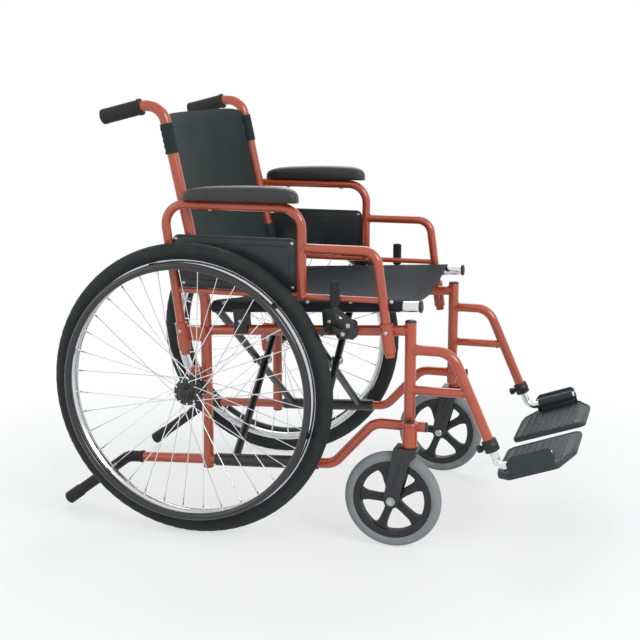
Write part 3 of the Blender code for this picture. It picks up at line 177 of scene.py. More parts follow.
def fillet(points, radius, steps=10):
    """A route through the points with an arc at each of its corners."""
    points = [Vector(p) for p in points]
    route = [points[0]]
    for before, corner, after in zip(points, points[1:], points[2:]):
        arrive = (corner - before).normalized()
        leave = (after - corner).normalized()
        turn = arrive.angle(leave)
        if turn < 0.001:
            continue
        start = corner - arrive * radius * tan(turn / 2)
        centre = corner + (leave - arrive).normalized() * radius / cos(turn / 2)
        spin_axis = arrive.cross(leave).normalized()
        for step in range(steps + 1):
            route.append(centre + Quaternion(spin_axis, turn * step / steps) @ (start - centre))
    route.append(points[-1])
    return route


def walk(points):
    """Length of a route, and a function that gives the point at a distance along it."""
    lengths = [0.0]
    for a, b in zip(points, points[1:]):
        lengths.append(lengths[-1] + (b - a).length)

    def at(d):
        for k in range(len(points) - 1):
            if d <= lengths[k + 1]:
                f = (d - lengths[k]) / max(1e-9, lengths[k + 1] - lengths[k])
                return points[k].lerp(points[k + 1], f)
        return points[-1].copy()

    return lengths[-1], at


def frames(route, closed):
    """Two unit vectors square to the route at each of its points, and its direction."""
    count = len(route)
    tangents = []
    for i in range(count):
        if closed:
            t = route[(i + 1) % count] - route[i - 1]
        else:
            t = route[min(i + 1, count - 1)] - route[max(i - 1, 0)]
        tangents.append(t.normalized())
    side = tangents[0].cross(X if abs(tangents[0].x) < 0.8 else Z).normalized()
    out = []
    for t in tangents:
        side = (side - t * side.dot(t)).normalized()
        out.append((side, t.cross(side).normalized(), t))
    return out


def ring_faces(rings, around, closed=False):
    """Faces between rings of points, with a cap at each end unless the rings close up."""
    faces = []
    for r in range(rings if closed else rings - 1):
        a, b = r * around, ((r + 1) % rings) * around
        for s in range(around):
            n = (s + 1) % around
            faces.append((a + s, a + n, b + n, b + s))
    if not closed:
        faces.append(tuple(range(around)))
        faces.append(tuple((rings - 1) * around + s for s in range(around)))
    return faces


def double_faces(rows, columns, closed=False):
    """Faces of a grid of points that is given twice, once per side, and of its edges."""
    size = rows * columns
    steps = range(columns if closed else columns - 1)
    faces = []
    for i in range(rows - 1):
        for j in steps:
            a, n = i * columns, (j + 1) % columns
            corners = (a + j, a + n, a + columns + n, a + columns + j)
            faces.append(corners)
            faces.append(tuple(size + c for c in (corners[0], *corners[:0:-1])))
    if not closed:
        for i in range(rows - 1):
            for a in (i * columns, i * columns + columns - 1):
                faces.append((a, a + columns, a + columns + size, a + size))
    for j in steps:
        for a in (0, size - columns):
            n = (j + 1) % columns
            faces.append((a + j, a + n, a + n + size, a + j + size))
    return faces


def tube(shape, route, radius, sides, round_ends=0.0015, closed=False, mat=0):
    """A round tube along a route; radius is a number or one number per point."""
    route = [Vector(p) for p in route]
    radii = list(radius) if hasattr(radius, "__len__") else [radius] * len(route)
    rings = [(p, r, *axes) for p, r, axes in zip(route, radii, frames(route, closed))]
    if not closed and round_ends:
        ends = []
        for (p, r, u, v, t), sign in ((rings[0], -1), (rings[-1], 1)):
            e = min(round_ends, r * 0.9)
            angles = [k * pi / 2 for k in (0.35, 0.7, 1.0)]
            ends.append([(p + t * sign * e * sin(a), r - e * (1 - cos(a)), u, v, t) for a in angles])
        rings = ends[0][::-1] + rings + ends[1]
    verts = [p + u * r * c + v * r * q for p, r, u, v, t in rings for c, q in circle(sides)]
    return shape.add(verts, ring_faces(len(rings), sides, closed), mat)


def rod(shape, start, end, radius, sides=24, round_ends=0.0008, mat=0):
    """A straight round rod whose rounded ends stop exactly at start and end."""
    start, end = Vector(start), Vector(end)
    t = (end - start).normalized() * round_ends
    return tube(shape, [start + t, end - t], radius, sides, round_ends, mat=mat)


def lathe(shape, profile, segments, place, mat=0):
    """(radius, x) points turned about X, then placed; off the axis, they close into a ring."""
    verts, rings = [], []
    for radius, offset in profile:
        count = segments if radius else 1
        rings.append(range(len(verts), len(verts) + count))
        if radius:
            verts += [(offset, radius * c, radius * q) for c, q in circle(segments)]
        else:
            verts.append((offset, 0, 0))
    joins = list(zip(rings, rings[1:]))
    if profile[0][0]:
        joins.append((rings[-1], rings[0]))
    faces = []
    for one, two in joins:
        for s in range(segments):
            n = (s + 1) % segments
            if len(one) == 1:
                faces.append((one[0], two[s], two[n]))
            elif len(two) == 1:
                faces.append((one[s], two[0], one[n]))
            else:
                faces.append((one[s], two[s], two[n], one[n]))
    return shape.add(verts, faces, mat, place)


def solid(shape, outline, low, high, edge, matrix, segments=2):
    """A flat (a, b) outline given depth low..high along its third axis, edges softened."""
    made = bmesh.new()
    face = made.faces.new([made.verts.new((a, b, low)) for a, b in outline])
    top = bmesh.ops.extrude_face_region(made, geom=[face])["geom"]
    lifted = [v for v in top if isinstance(v, bmesh.types.BMVert)]
    bmesh.ops.translate(made, vec=(0, 0, high - low), verts=lifted)
    bmesh.ops.recalc_face_normals(made, faces=made.faces)
    sharp = [e for e in made.edges if e.calc_face_angle(0) > 0.5]
    bmesh.ops.bevel(made, geom=sharp, offset=edge, segments=segments, affect="EDGES",
                    profile=0.5, clamp_overlap=True)
    made.verts.index_update()
    verts = [v.co.copy() for v in made.verts]
    faces = [[v.index for v in f.verts] for f in made.faces]
    made.free()
    return shape.add(verts, faces, 0, matrix)


def brick(shape, centre, size, edge, matrix=None, segments=2):
    """A block with softened edges round its centre."""
    x, y, z = (s / 2 for s in size)
    place = Matrix.Translation(centre)
    return solid(shape, [(-x, -y), (x, -y), (x, y), (-x, y)], -z, z, edge,
                 matrix @ place if matrix else place, segments)


def rounded(points, radius, steps=5):
    """A closed flat outline with an arc at each corner; radius may be one per corner."""
    count = len(points)
    radii = radius if hasattr(radius, "__len__") else [radius] * count
    out = []
    for i in range(count):
        a, c, b = (Vector((*points[k % count], 0)) for k in (i - 1, i, i + 1))
        out += [(p.x, p.y) for p in fillet([(a + c) / 2, c, (c + b) / 2], radii[i], steps)[1:-1]]
    return out


def on_plane_x(x=0.0):
    """Matrix that takes (a, b, c) to (c + x, a, b): an outline in YZ, depth along X."""
    return Matrix(((0, 0, 1, x), (1, 0, 0, 0), (0, 1, 0, 0), (0, 0, 0, 1)))


def facing(centre, direction):
    """Matrix whose +X points along direction."""
    d = Vector(direction).normalized()
    u = Z if abs(d.z) < 0.9 else Y
    v = (u - d * u.dot(d)).normalized()
    return Matrix.Translation(centre) @ Matrix((d, v, d.cross(v))).transposed().to_4x4()


def bolt(shape, centre, direction, radius, height, mat=0, socket=True):
    """A domed screw head, with or without a socket, standing on centre."""
    profile = [(0, 0), (radius, 0), (radius, height * 0.55), (radius * 0.86, height * 0.86),
               (radius * 0.62, height)]
    if socket:
        profile += [(radius * 0.45, height), (radius * 0.45, height * 0.4), (0, height * 0.4)]
    else:
        profile += [(0, height)]
    return lathe(shape, profile, 18, facing(centre, direction), mat)


def nut(shape, centre, direction, radius, height):
    """A hexagon nut with a washer under it, standing on centre."""
    place = facing(centre, direction)
    lathe(shape, [(0, 0), (radius * 1.25, 0), (radius * 1.25, 0.001), (0, 0.001)], 24, place)
    profile = [(0, 0.001), (radius, 0.001), (radius, height * 0.8), (radius * 0.88, height),
               (radius * 0.5, height), (radius * 0.45, height * 1.25), (0, height * 1.3)]
    return lathe(shape, profile, 6, place)


def weld(shape, centre, direction, other_axis, radius, other_r, size=0.0017):
    """A rippled bead where a tube runs into the side of a wider or equal one."""
    centre = Vector(centre)
    d = Vector(direction).normalized()
    o = Vector(other_axis).normalized()
    square = d.cross(o).normalized()
    slope = d.dot(o)
    u = (o - d * slope).normalized()
    run = max(0.25, sqrt(max(1e-6, 1 - slope * slope)))
    count, around, ripples = 72, 8, 18
    ring = []
    for c, q in circle(count):
        across = radius * q
        depth = sqrt(max(other_r ** 2 - across * across, 0.0)) / run
        ring.append(centre + u * radius * c + square * across + d * (depth - radius * c * slope / run))
    verts = []
    for k, p in enumerate(ring):
        t = (ring[(k + 1) % count] - ring[k - 1]).normalized()
        out = (p - (centre + d * (p - centre).dot(d))).normalized()
        up = t.cross(out)
        r = size * (0.9 + 0.14 * cos(ripples * 2 * pi * k / count))
        verts += [p + out * r * c + up * r * q for c, q in circle(around)]
    return shape.add(verts, ring_faces(count, around, True))


def rail_z(height, y):
    """z at y of a raked rail; height is square to the rails, from the floor below the axle."""
    return height / cos(RAKE) - (y - AXLE_Y) * tan(RAKE)


def beside_rail(height, y):
    """A point on one of the left frame's raked rails."""
    return beside(y, rail_z(height, y))


def on_rail(x, v, height):
    """v is metres in front of the axle along the raked rails."""
    return RAKED @ vec(x, -v, height)


def rear_leg(z):
    """A point at height z on the armrest's rear leg."""
    return vec(ARM_X, ARM_REAR_Y - (ARM_TOP_Z - z) * tan(ARM_LEAN), z)


def front_leg(z):
    return vec(ARM_X, ARM_STEP_Y - (ARM_STEP_Z - z) * tan(ARM_LEAN), z)


FORWARD = (on_rail(0, 1, 0) - on_rail(0, 0, 0)).normalized()


# Materials

def add_node(tree, kind, inputs, **settings):
    """A shader node whose inputs are given values or other nodes' outputs."""
    made = tree.nodes.new("ShaderNode" + kind)
    for key, value in settings.items():
        setattr(made, key, value)
    feed(tree, made, inputs)
    return made


def feed(tree, node, inputs):
    """Gives a node's inputs, by name or number, their values or links."""
    for key, value in inputs.items():
        if isinstance(value, bpy.types.NodeSocket):
            tree.links.new(value, node.inputs[key])
        else:
            node.inputs[key].default_value = value


def material(name, colour, roughness, metallic=0.0, coat=0.0, sheen=0.0, specular=0.5):
    m = bpy.data.materials.new(name)
    m.use_nodes = True
    tree = m.node_tree
    shader = tree.nodes["Principled BSDF"]
    feed(tree, shader, {
        "Base Color": (*colour, 1), "Roughness": roughness, "Metallic": metallic, "Coat Weight": coat,
        "Coat Roughness": 0.12, "Sheen Weight": sheen, "Sheen Roughness": 0.5,
        "Specular IOR Level": specular})
    return m, tree, shader


def coords(tree):
    return add_node(tree, "TexCoord", {}).outputs["Object"]


def noise_node(tree, vector, scale, detail, roughness=0.55):
    inputs = {"Vector": vector, "Scale": scale, "Detail": detail, "Roughness": roughness}
    return add_node(tree, "TexNoise", inputs).outputs["Fac"]


def cells_node(tree, vector, scale, **settings):
    inputs = {"Vector": vector, "Scale": scale}
    return add_node(tree, "TexVoronoi", inputs, **settings).outputs["Distance"]


def ramp(tree, factor, stops):
    r = add_node(tree, "ValToRGB", {"Fac": factor})
    for element, (position, colour) in zip(r.color_ramp.elements, stops):
        element.position = position
        element.color = (*colour, 1)
    return r.outputs["Color"]


def remap(tree, value, low, high, from_low=0.0, from_high=1.0):
    inputs = {"Value": value, "From Min": from_low, "From Max": from_high, "To Min": low, "To Max": high}
    return add_node(tree, "MapRange", inputs).outputs["Result"]


def math_node(tree, operation, *values):
    return add_node(tree, "Math", dict(enumerate(values)), operation=operation).outputs["Value"]


def bump(tree, shader, height, strength, distance):
    made = add_node(tree, "Bump", {"Strength": strength, "Distance": distance, "Height": height})
    tree.links.new(made.outputs["Normal"], shader.inputs["Normal"])


def tinted(tree, shader, factor, dark, light, low=0.3, high=0.7):
    tree.links.new(ramp(tree, factor, [(low, dark), (high, light)]), shader.inputs["Base Color"])


def roughened(tree, shader, factor, low, high, *span):
    tree.links.new(remap(tree, factor, low, high, *span), shader.inputs["Roughness"])


def drifting(name, colour, tones, roughness, tint, wear, **settings):
    """A material whose tone and roughness drift.

    tint is a noise's scale, detail and roughness, then the two ends of its ramp; wear is a
    noise's scale and detail, then how far the roughness goes down and up.
    """
    m, tree, shader = material(name, colour, roughness, **settings)
    vector = coords(tree)
    tinted(tree, shader, noise_node(tree, vector, *tint[:3]), *tones, *tint[3:])
    scale, detail, down, up = wear
    roughened(tree, shader, noise_node(tree, vector, scale, detail), roughness - down, roughness + up)
    return m, tree, shader, vector


def paint(name, colour, shade, roughness, coat):
    """Sprayed and baked paint: faint orange peel and a slow drift of tone."""
    m, tree, shader, vector = drifting(name, colour, (shade, colour), roughness,
                                       (9, 2, 0.55, 0.35, 0.65), (60, 4, 0.05, 0.1), coat=coat)
    bump(tree, shader, noise_node(tree, vector, 700, 2), 0.06, 0.0004)
    return m


def plated(name, colour, roughness, scratch=0.1):
    """Plated or polished metal with faint rubbed lines."""
    m, tree, shader = material(name, colour, roughness, 1.0)
    vector = coords(tree)
    lines = noise_node(tree, vector, 260, 4)
    patches = noise_node(tree, vector, 24, 3)
    both = math_node(tree, "MULTIPLY", lines, patches)
    roughened(tree, shader, both, roughness * 0.7, roughness + scratch, 0.1, 0.5)
    tinted(tree, shader, patches, tuple(c * 0.86 for c in colour), colour)
    bump(tree, shader, lines, 0.03, 0.0002)
    return m


def rubber(name, colour, dusty, roughness, grain):
    """Dull rubber or thread with dusty patches and a fine grain."""
    m, tree, shader, vector = drifting(name, colour, (colour, dusty), roughness,
                                       (18, 5, 0.65, 0.42, 0.75), (40, 4, 0.1, 0.12), specular=0.35)
    bump(tree, shader, noise_node(tree, vector, grain, 3), 0.22, 0.0003)
    return m


def moulded(name, colour, scuffed, roughness, grain=1500):
    """Moulded plastic with a fine pebbled skin."""
    m, tree, shader, vector = drifting(name, colour, (colour, scuffed), roughness,
                                       (30, 5, 0.7, 0.5, 0.85), (55, 3, 0.08, 0.12), specular=0.45)
    bump(tree, shader, cells_node(tree, vector, grain), 0.18, 0.0003)
    return m


def skin(name, colour, scuffed):
    """Soft moulded foam skin with a fine leather grain."""
    m, tree, shader, vector = drifting(name, colour, (colour, scuffed), 0.42,
                                       (14, 5, 0.7, 0.4, 0.8), (45, 4, 0.06, 0.14),
                                       coat=0.05, sheen=0.1, specular=0.45)
    edges = cells_node(tree, vector, 620, feature="DISTANCE_TO_EDGE")
    bump(tree, shader, math_node(tree, "MINIMUM", edges, 0.25), 0.3, 0.0006)
    return m


def woven(name, warp, weft, axes):
    """Plain woven nylon: threads over and under in two directions of the object."""
    thread, roughness = 0.0011, 0.78
    m, tree, shader = material(name, warp, roughness, sheen=0.05, specular=0.25)
    vector = coords(tree)
    split = add_node(tree, "SeparateXYZ", {"Vector": vector}).outputs
    turn = pi / thread
    u, v = (math_node(tree, "SINE", math_node(tree, "MULTIPLY", split[axis], turn)) for axis in axes)
    over = math_node(tree, "MULTIPLY", u, v)
    wear = noise_node(tree, vector, 7, 5, 0.6)
    colour = ramp(tree, remap(tree, over, 0.0, 1.0, -1.0, 1.0), [(0.35, warp), (0.65, weft)])
    fade = ramp(tree, wear, [(0.35, (0.75, 0.75, 0.75)), (0.7, (1.25, 1.25, 1.25))])
    # sockets 6, 7 and 2 are the mix node's two colours and its result
    mix = add_node(tree, "Mix", {"Factor": 1.0}, data_type="RGBA", blend_type="MULTIPLY")
    feed(tree, mix, {6: colour, 7: fade})
    tree.links.new(mix.outputs[2], shader.inputs["Base Color"])
    roughened(tree, shader, wear, roughness - 0.08, roughness + 0.1)
    fuzz = math_node(tree, "MULTIPLY", noise_node(tree, vector, 1600, 2), 0.35)
    bump(tree, shader, math_node(tree, "ADD", math_node(tree, "ABSOLUTE", over), fuzz), 0.35, 0.0004)
    return m


RED = paint("red_powder_coat", (0.49, 0.070, 0.019), (0.40, 0.054, 0.015), 0.24, 0.8)
BLACK = paint("satin_black_paint", (0.018, 0.018, 0.020), (0.013, 0.013, 0.015), 0.36, 0.2)
RIM_BLACK = paint("handrim_black", (0.012, 0.012, 0.013), (0.008, 0.008, 0.010), 0.28, 0.4)
CHROME = plated("bright_chrome", (0.80, 0.81, 0.83), 0.10)
RIM = plated("polished_rim", (0.68, 0.70, 0.71), 0.20, 0.12)
STEEL = plated("zinc_steel", (0.56, 0.57, 0.58), 0.3, 0.15)
TYRE = rubber("tyre_rubber", (0.0105, 0.015, 0.014), (0.023, 0.031, 0.029), 0.7, 700)
GREY_TYRE = rubber("castor_rubber", (0.250, 0.275, 0.278), (0.19, 0.207, 0.210), 0.62, 800)
GRIP = rubber("grip_rubber", (0.013, 0.013, 0.014), (0.024, 0.024, 0.025), 0.62, 1200)
PLASTIC = moulded("black_moulding", (0.014, 0.015, 0.016), (0.035, 0.037, 0.038), 0.42)
PLATE = moulded("footplate_moulding", (0.018, 0.030, 0.031), (0.034, 0.053, 0.054), 0.5, 900)
PAD = skin("pad_skin", (0.018, 0.0175, 0.017), (0.033, 0.032, 0.031))
SEAT_CLOTH = woven("seat_nylon", (0.010, 0.0125, 0.0165), (0.018, 0.022, 0.028), "XY")
BACK_CLOTH = woven("back_nylon", (0.013, 0.023, 0.023), (0.022, 0.037, 0.036), "XZ")
THREAD = rubber("sewing_thread", (0.045, 0.050, 0.050), (0.07, 0.075, 0.075), 0.8, 2000)
PANEL = moulded("side_panel_sheet", (0.019, 0.025, 0.0245), (0.040, 0.050, 0.049), 0.34, 1100)


# Side frames

def falling(start, y, angle):
    """The point at y on a line from start that drops towards the rear."""
    return beside(y, start.z - (y - start.y) * tan(angle))


def on_hanger(z):
    """A point at height z on the straight part of the front hanger."""
    return beside(HANGER_END.y + (z - HANGER_END.z) * tan(SLOPE), z)


CANE_START = beside(REAR_POST_Y, 0.478)
CANE_CORNER = beside(AXLE_Y + 0.074, 0.887)
CANE = (CANE_CORNER - CANE_START).normalized()
HANDLE_END = falling(CANE_CORNER, AXLE_Y + 0.203, radians(14))
POST_FOOT = beside_rail(BOTTOM_RAIL_H, REAR_POST_Y) - Z * (RAIL_R + 0.004)
LEVER_BEND = beside_rail(BOTTOM_RAIL_H, AXLE_Y + 0.172)
LEVER_TIP = falling(LEVER_BEND, AXLE_Y + 0.318, radians(37))
SLANT_LOW = beside_rail(BOTTOM_RAIL_H, AXLE_Y - 0.290)
SLANT_HIGH = beside(AXLE_Y - 0.375, FRONT_RAIL_Z)
RAIL_FRONT = beside(FRONT_POST_Y - 0.034, FRONT_RAIL_Z)
RAIL_CROSSING = beside(FRONT_POST_Y, FRONT_RAIL_Z)
HANGER_BEND = on_hanger(HANGER_TOP_Z)
HANGER_ROOT = beside(FRONT_POST_Y, HANGER_TOP_Z)
BRACE_ROOT = beside(FRONT_POST_Y, HANGER_BRACE_Z)
BRACE_TIP = on_hanger(HANGER_BRACE_Z)
POST_TOP = beside(FRONT_POST_Y, 0.463)
STEM = vec(CASTOR_X, STEM_Y, HOUSING_Z)
AXLE = beside(AXLE_Y, WHEEL_R)
AXLE_PLACE = Matrix.Translation((0, AXLE_Y, WHEEL_R))
AXLE_PLATE_Y = AXLE_Y + 0.002
LEVER_BEND_R = 0.040
SOCKETS = ((rear_leg, REAR_POST_Y), (front_leg, SOCKET_GUESS_Y))


def socket_span(leg, y_guess):
    """Both ends of an armrest socket on one leg, by the height of the upper rail at y_guess."""
    middle = rail_z(UPPER_RAIL_H, y_guess)
    return leg(middle - 0.040), leg(middle + 0.018)


def frame_tubes():
    s = Shape()
    lower = fillet([POST_FOOT, CANE_START, CANE_CORNER], 0.10)
    upper = fillet([CANE_START, CANE_CORNER, HANDLE_END], 0.040, 12)
    tube(s, lower[:-1] + upper[1:], POST_R, 32)
    tube(s, fillet([LEVER_TIP, LEVER_BEND, SLANT_LOW, SLANT_HIGH, RAIL_FRONT], LEVER_BEND_R), RAIL_R, 32)
    rear = beside_rail(UPPER_RAIL_H, REAR_POST_Y)
    front = beside_rail(UPPER_RAIL_H, FRONT_POST_Y)
    rod(s, rear, front, RAIL_R, 32)
    rod(s, POST_TOP, beside(FRONT_POST_Y, HOUSING_Z + 0.011), POST_R, 32, 0.002)
    tube(s, fillet([HANGER_ROOT, HANGER_BEND, HANGER_END], 0.045, 12), RAIL_R, 32)
    rod(s, BRACE_ROOT, BRACE_TIP, BRACE_R, 28)
    # castor housing: a turned barrel with a rolled lip at each end
    barrel = [(0.0087, 0), (0.0152, 0), (0.0164, 0.0012), (0.0164, 0.0042), (0.0150, 0.0056),
              (0.0150, 0.0440), (0.0162, 0.0452), (0.0162, 0.0485), (0.0150, 0.0500),
              (0.0080, 0.0500), (0.0080, 0.0455), (0.0087, 0.0450)]
    lathe(s, barrel, 40, facing(STEM, Z))
    # axle plate and its boss
    outline = rounded([(-0.022, -0.036), (0.022, -0.036), (0.026, 0.0), (0.022, 0.036), (-0.022, 0.036),
                       (-0.019, 0.0)], [0.008, 0.008, 0.02, 0.008, 0.008, 0.02])
    place = Matrix.Translation((0, AXLE_PLATE_Y, WHEEL_R)) @ on_plane_x(FRAME_X)
    solid(s, outline, -0.004, 0.004, 0.0012, place)
    boss = mirrored([(0.0062, -BOSS_HALF), (0.0112, -BOSS_HALF), (0.0125, 0.0013 - BOSS_HALF)])
    lathe(s, boss, 36, Matrix.Translation(AXLE))
    # armrest sockets, open tubes with a lip, and a web to the frame
    for leg, guess in SOCKETS:
        low, high = socket_span(leg, guess)
        length = (high - low).length
        wall = [(0.0100, 0), (0.0122, 0), (0.0124, 0.0010), (0.0124, length - 0.004),
                (0.0134, length - 0.003), (0.0134, length - 0.0005), (0.0126, length), (0.0100, length)]
        lathe(s, wall, 36, facing(low, high - low))
        middle = (low + high) / 2
        inner = REAR_POST_Y if leg is rear_leg else middle.y
        web_z = rail_z(UPPER_RAIL_H, middle.y) - 0.003
        brick(s, ((FRAME_X + ARM_X) / 2, (middle.y + inner) / 2, web_z),
              (ARM_X - FRAME_X - 0.004, middle.y - inner + 0.014, 0.030), 0.002)
    for centre, d, other, r, big in (
            (POST_FOOT + Z * (RAIL_R + 0.004), Z, Y, POST_R, RAIL_R),
            (rear, front - rear, Z, RAIL_R, POST_R),
            (front, rear - front, Z, RAIL_R, POST_R),
            (HANGER_ROOT, -Y, Z, RAIL_R, POST_R),
            (BRACE_ROOT, -Y, Z, BRACE_R, POST_R),
            (BRACE_TIP, Y, DOWN, BRACE_R, RAIL_R),
            (RAIL_CROSSING, Y, Z, RAIL_R, POST_R),
            (RAIL_CROSSING, -Y, Z, RAIL_R, POST_R)):
        weld(s, centre, d, other, r, big)
    return s


def frame_trim():
    """Plastic plugs in the open tube ends, and the screws that hold the frame's fittings."""
    s = Shape()
    for end, d, r in ((POST_TOP, Z, POST_R), (POST_FOOT, -Z, POST_R), (RAIL_FRONT, -Y, RAIL_R)):
        plug = [(0, -0.0005), (r * 0.99, -0.0005), (r * 1.02, 0.0006), (r * 0.98, 0.0018), (r * 0.8, 0.0030),
                (r * 0.45, 0.0038), (0, 0.0041)]
        lathe(s, plug, 32, facing(end, d))
    cap = [(0, 0.0460), (0.0078, 0.0460), (0.0079, 0.0515), (0.0070, 0.0530), (0.0035, 0.0538), (0, 0.0540)]
    lathe(s, cap, 28, facing(STEM, Z))
    # dust seal under the castor housing
    lathe(s, [(0.0086, 0.0), (0.0158, 0.0), (0.0160, -0.0004), (0.0086, -0.0004)], 36, facing(STEM, Z))
    for leg, guess in SOCKETS:
        low, high = socket_span(leg, guess)
        bolt(s, low.lerp(high, 0.72) + X * 0.0120, X, 0.0042, 0.0032, 1)
    for dz in (-0.026, 0.026):
        for out in (X, -X):
            bolt(s, beside(AXLE_PLATE_Y, WHEEL_R + dz) + out * 0.004, out, 0.0040, 0.0026, 1)
    return s


pair("side_frame_tubes", frame_tubes(), [RED], "%s_frame", "side_frame")
pair("frame_trim", frame_trim(), [PLASTIC, STEEL], "%s_frame", "castor_cap")


def ribbed_grip(route, inner_r, outer_r, pitch, depth, lip=0.0012, foot=0.03, swell=0.0):
    """A sleeve with rounded rings round it, a collar at its mouth and a closed end.

    Its last stretch, foot long, is thicker by swell.
    """
    tip, mouth, rise_length = 0.005, 0.0003, 0.010
    total, at = walk(route)
    steps = int(total / pitch * 6)
    path, radii = [at(0.0)], [inner_r + 0.0008]
    for k in range(steps + 1):
        d = mouth + (total - mouth) * k / steps
        r = outer_r - depth * (0.5 - 0.5 * cos(2 * pi * d / pitch))
        if d < 0.006:
            r = outer_r + lip
        elif d > total - rise_length:
            r = outer_r
        rise = min(1.0, max(0.0, (d - total + foot) / rise_length))
        path.append(at(d))
        radii.append(r + swell * rise * rise * (3 - 2 * rise))
    outward = (route[-1] - route[-2]).normalized()
    for f in (0.3, 0.55, 0.75, 0.9, 1.0):
        path.append(route[-1] + outward * tip * f)
        radii.append((outer_r + swell) * sqrt(max(1 - f * f, 0.02)))
    return tube(Shape(), path, radii, 36, 0)


def push_grip():
    back = (CANE_CORNER - HANDLE_END).normalized()
    return ribbed_grip([HANDLE_END + back * 0.088, HANDLE_END], POST_R, POST_R + 0.0045, 0.0064, 0.0009)


def lever_grip():
    start = beside_rail(BOTTOM_RAIL_H, AXLE_Y + 0.135)
    route = fillet([start, LEVER_BEND, LEVER_TIP], LEVER_BEND_R, 8)
    return ribbed_grip(route, RAIL_R, RAIL_R + 0.0016, 0.0085, 0.0004, lip=0.0010, foot=0.042, swell=0.0017)


pair("push_grip_rubber", push_grip(), [GRIP], "%s_frame", "push_handle_grip", 50)
pair("lever_grip_rubber", lever_grip(), [GRIP], "%s_frame", "tipping_lever_grip", 50)


# Rear wheels

WHEEL = vec(WHEEL_X, AXLE_Y, WHEEL_R)
SPOKE_COUNT, SPOKE_R, NIPPLE_R, FLANGE_X, SPOKE_RING_R = 36, 0.00105, 0.0019, 0.0210, 0.0232
SPOKE_CROSSING = radians(52)
TREAD_DEPTH, GROOVE_DEPTH, SIDE_RIB = 0.0007, 0.0006, 0.0005


def tread_relief(seg, x, crown):
    """Height of the tread at one place; crown is 1 at the top of the tyre and 0 at its sides."""
    relief, away = 0.0, abs(x)
    if crown > 0.45:
        slant = sin(seg * 2 * pi / 4 + away * 420)
        if slant > 0.35 and away >= 0.0012:
            relief = -TREAD_DEPTH * min(1.0, (crown - 0.45) * 6)
        if 0.0042 < away < 0.0058:
            relief -= GROOVE_DEPTH
    elif 0.02 < crown < 0.2:
        relief = SIDE_RIB
    return relief


def rear_tyre():
    """Round casing with two side ribs and a tread cut by slanted grooves."""
    segments, count = 288, 34
    start = asin(RIM_HALF / TYRE_R)
    verts = []
    for seg, (c, q) in enumerate(circle(segments)):
        ring = [(RIM_OUTER_R + GAP, RIM_HALF)]
        for k in range(1, count):
            a = start + (2 * pi - 2 * start) * k / count
            x = TYRE_R * sin(a)
            ring.append((WHEEL_R - TYRE_R - TYRE_R * cos(a) + tread_relief(seg, x, -cos(a)), x))
        ring.append((RIM_OUTER_R + GAP, -RIM_HALF))
        verts += [WHEEL + vec(0, c, q) * r + X * x for r, x in ring]
    return Shape().add(verts, ring_faces(segments, count + 1, True))


def rear_rim():
    w, outer, inner = RIM_HALF, RIM_OUTER_R, RIM_INNER_R
    bed = [(outer, w), (outer + 0.0016, w - 0.0004), (outer + 0.0018, w - 0.0014),
           (outer - 0.0012, w - 0.0030), (outer - 0.0030, 0.0)]
    wall = [(outer - 0.0080, -w), (outer - 0.0092, 0.0010 - w), (inner + 0.0010, -0.0066), (inner, -0.0045)]
    return lathe(Shape(), mirrored(bed) + mirrored(wall), 160, Matrix.Translation(WHEEL))


def wheel_spokes():
    """Crossed wire spokes from bent heads in the flanges to nipples in the rim."""
    s = Shape()
    for k in range(SPOKE_COUNT):
        side = 1 if k % 2 else -1
        lead = 1 if (k // 2) % 2 else -1
        at_rim = 2 * pi * (k + 0.5) / SPOKE_COUNT
        at_hub = at_rim - lead * SPOKE_CROSSING
        hub = WHEEL + vec(side * FLANGE_X, cos(at_hub) * SPOKE_RING_R, sin(at_hub) * SPOKE_RING_R)
        reach = RIM_INNER_R + 0.001
        rim = WHEEL + vec(side * 0.0020, cos(at_rim) * reach, sin(at_rim) * reach)
        outward = X * side * lead
        start = hub + outward * 0.0022
        d = (rim - start).normalized()
        tube(s, [hub - outward * 0.0020, start, start + d * 0.003, rim], SPOKE_R, 8, 0)
        rod(s, rim - d * 0.0135, rim, NIPPLE_R, 10, 0.0004)
        head = [(0, 0), (0.0019, 0), (0.0019, 0.0006), (0.0012, 0.0012), (0, 0.0014)]
        lathe(s, head, 10, facing(hub - outward * 0.0018, -outward))
    return s


def wheel_hub():
    half = [(0.0064, -HUB_HALF), (0.0135, -HUB_HALF), (0.0150, 0.0015 - HUB_HALF), (0.0158, -0.0250),
            (0.0170, -0.0232), (0.0262, -0.0226), (0.0272, -0.0218), (0.0272, -0.0202), (0.0262, -0.0194),
            (0.0172, -0.0186), (0.0150, -0.0160), (0.0132, -0.0100), (0.0128, 0.0)]
    return lathe(Shape(), mirrored(half), 56, Matrix.Translation(WHEEL))


def handrim():
    ring = [vec(HANDRIM_X, AXLE_Y + HANDRIM_R * c, WHEEL_R + HANDRIM_R * q) for c, q in circle(180)]
    return tube(Shape(), ring, HANDRIM_BAR_R, 24, closed=True)


def handrim_tabs():
    """Six short brackets between the handrim and the rim, each with its screw."""
    s = Shape()
    # outline in the plane of X and the radius: foot on the rim, arm to the ring
    outline = rounded([(0.2998, 0.2605), (0.3008, 0.2715), (0.3050, 0.2722), (0.3185, 0.2665),
                       (0.3185, 0.2560), (0.3040, 0.2600)], [0.001, 0.001, 0.002, 0.002, 0.002, 0.002], 3)
    for k in range(6):
        turn = AXLE_PLACE @ Matrix.Rotation(2 * pi * (k + 0.25) / 6, 4, "X")
        solid(s, outline, -0.006, 0.006, 0.0010, turn)
        bolt(s, turn @ vec(0.3044, 0.2640, 0), X, 0.0034, 0.0022, 1)
    return s


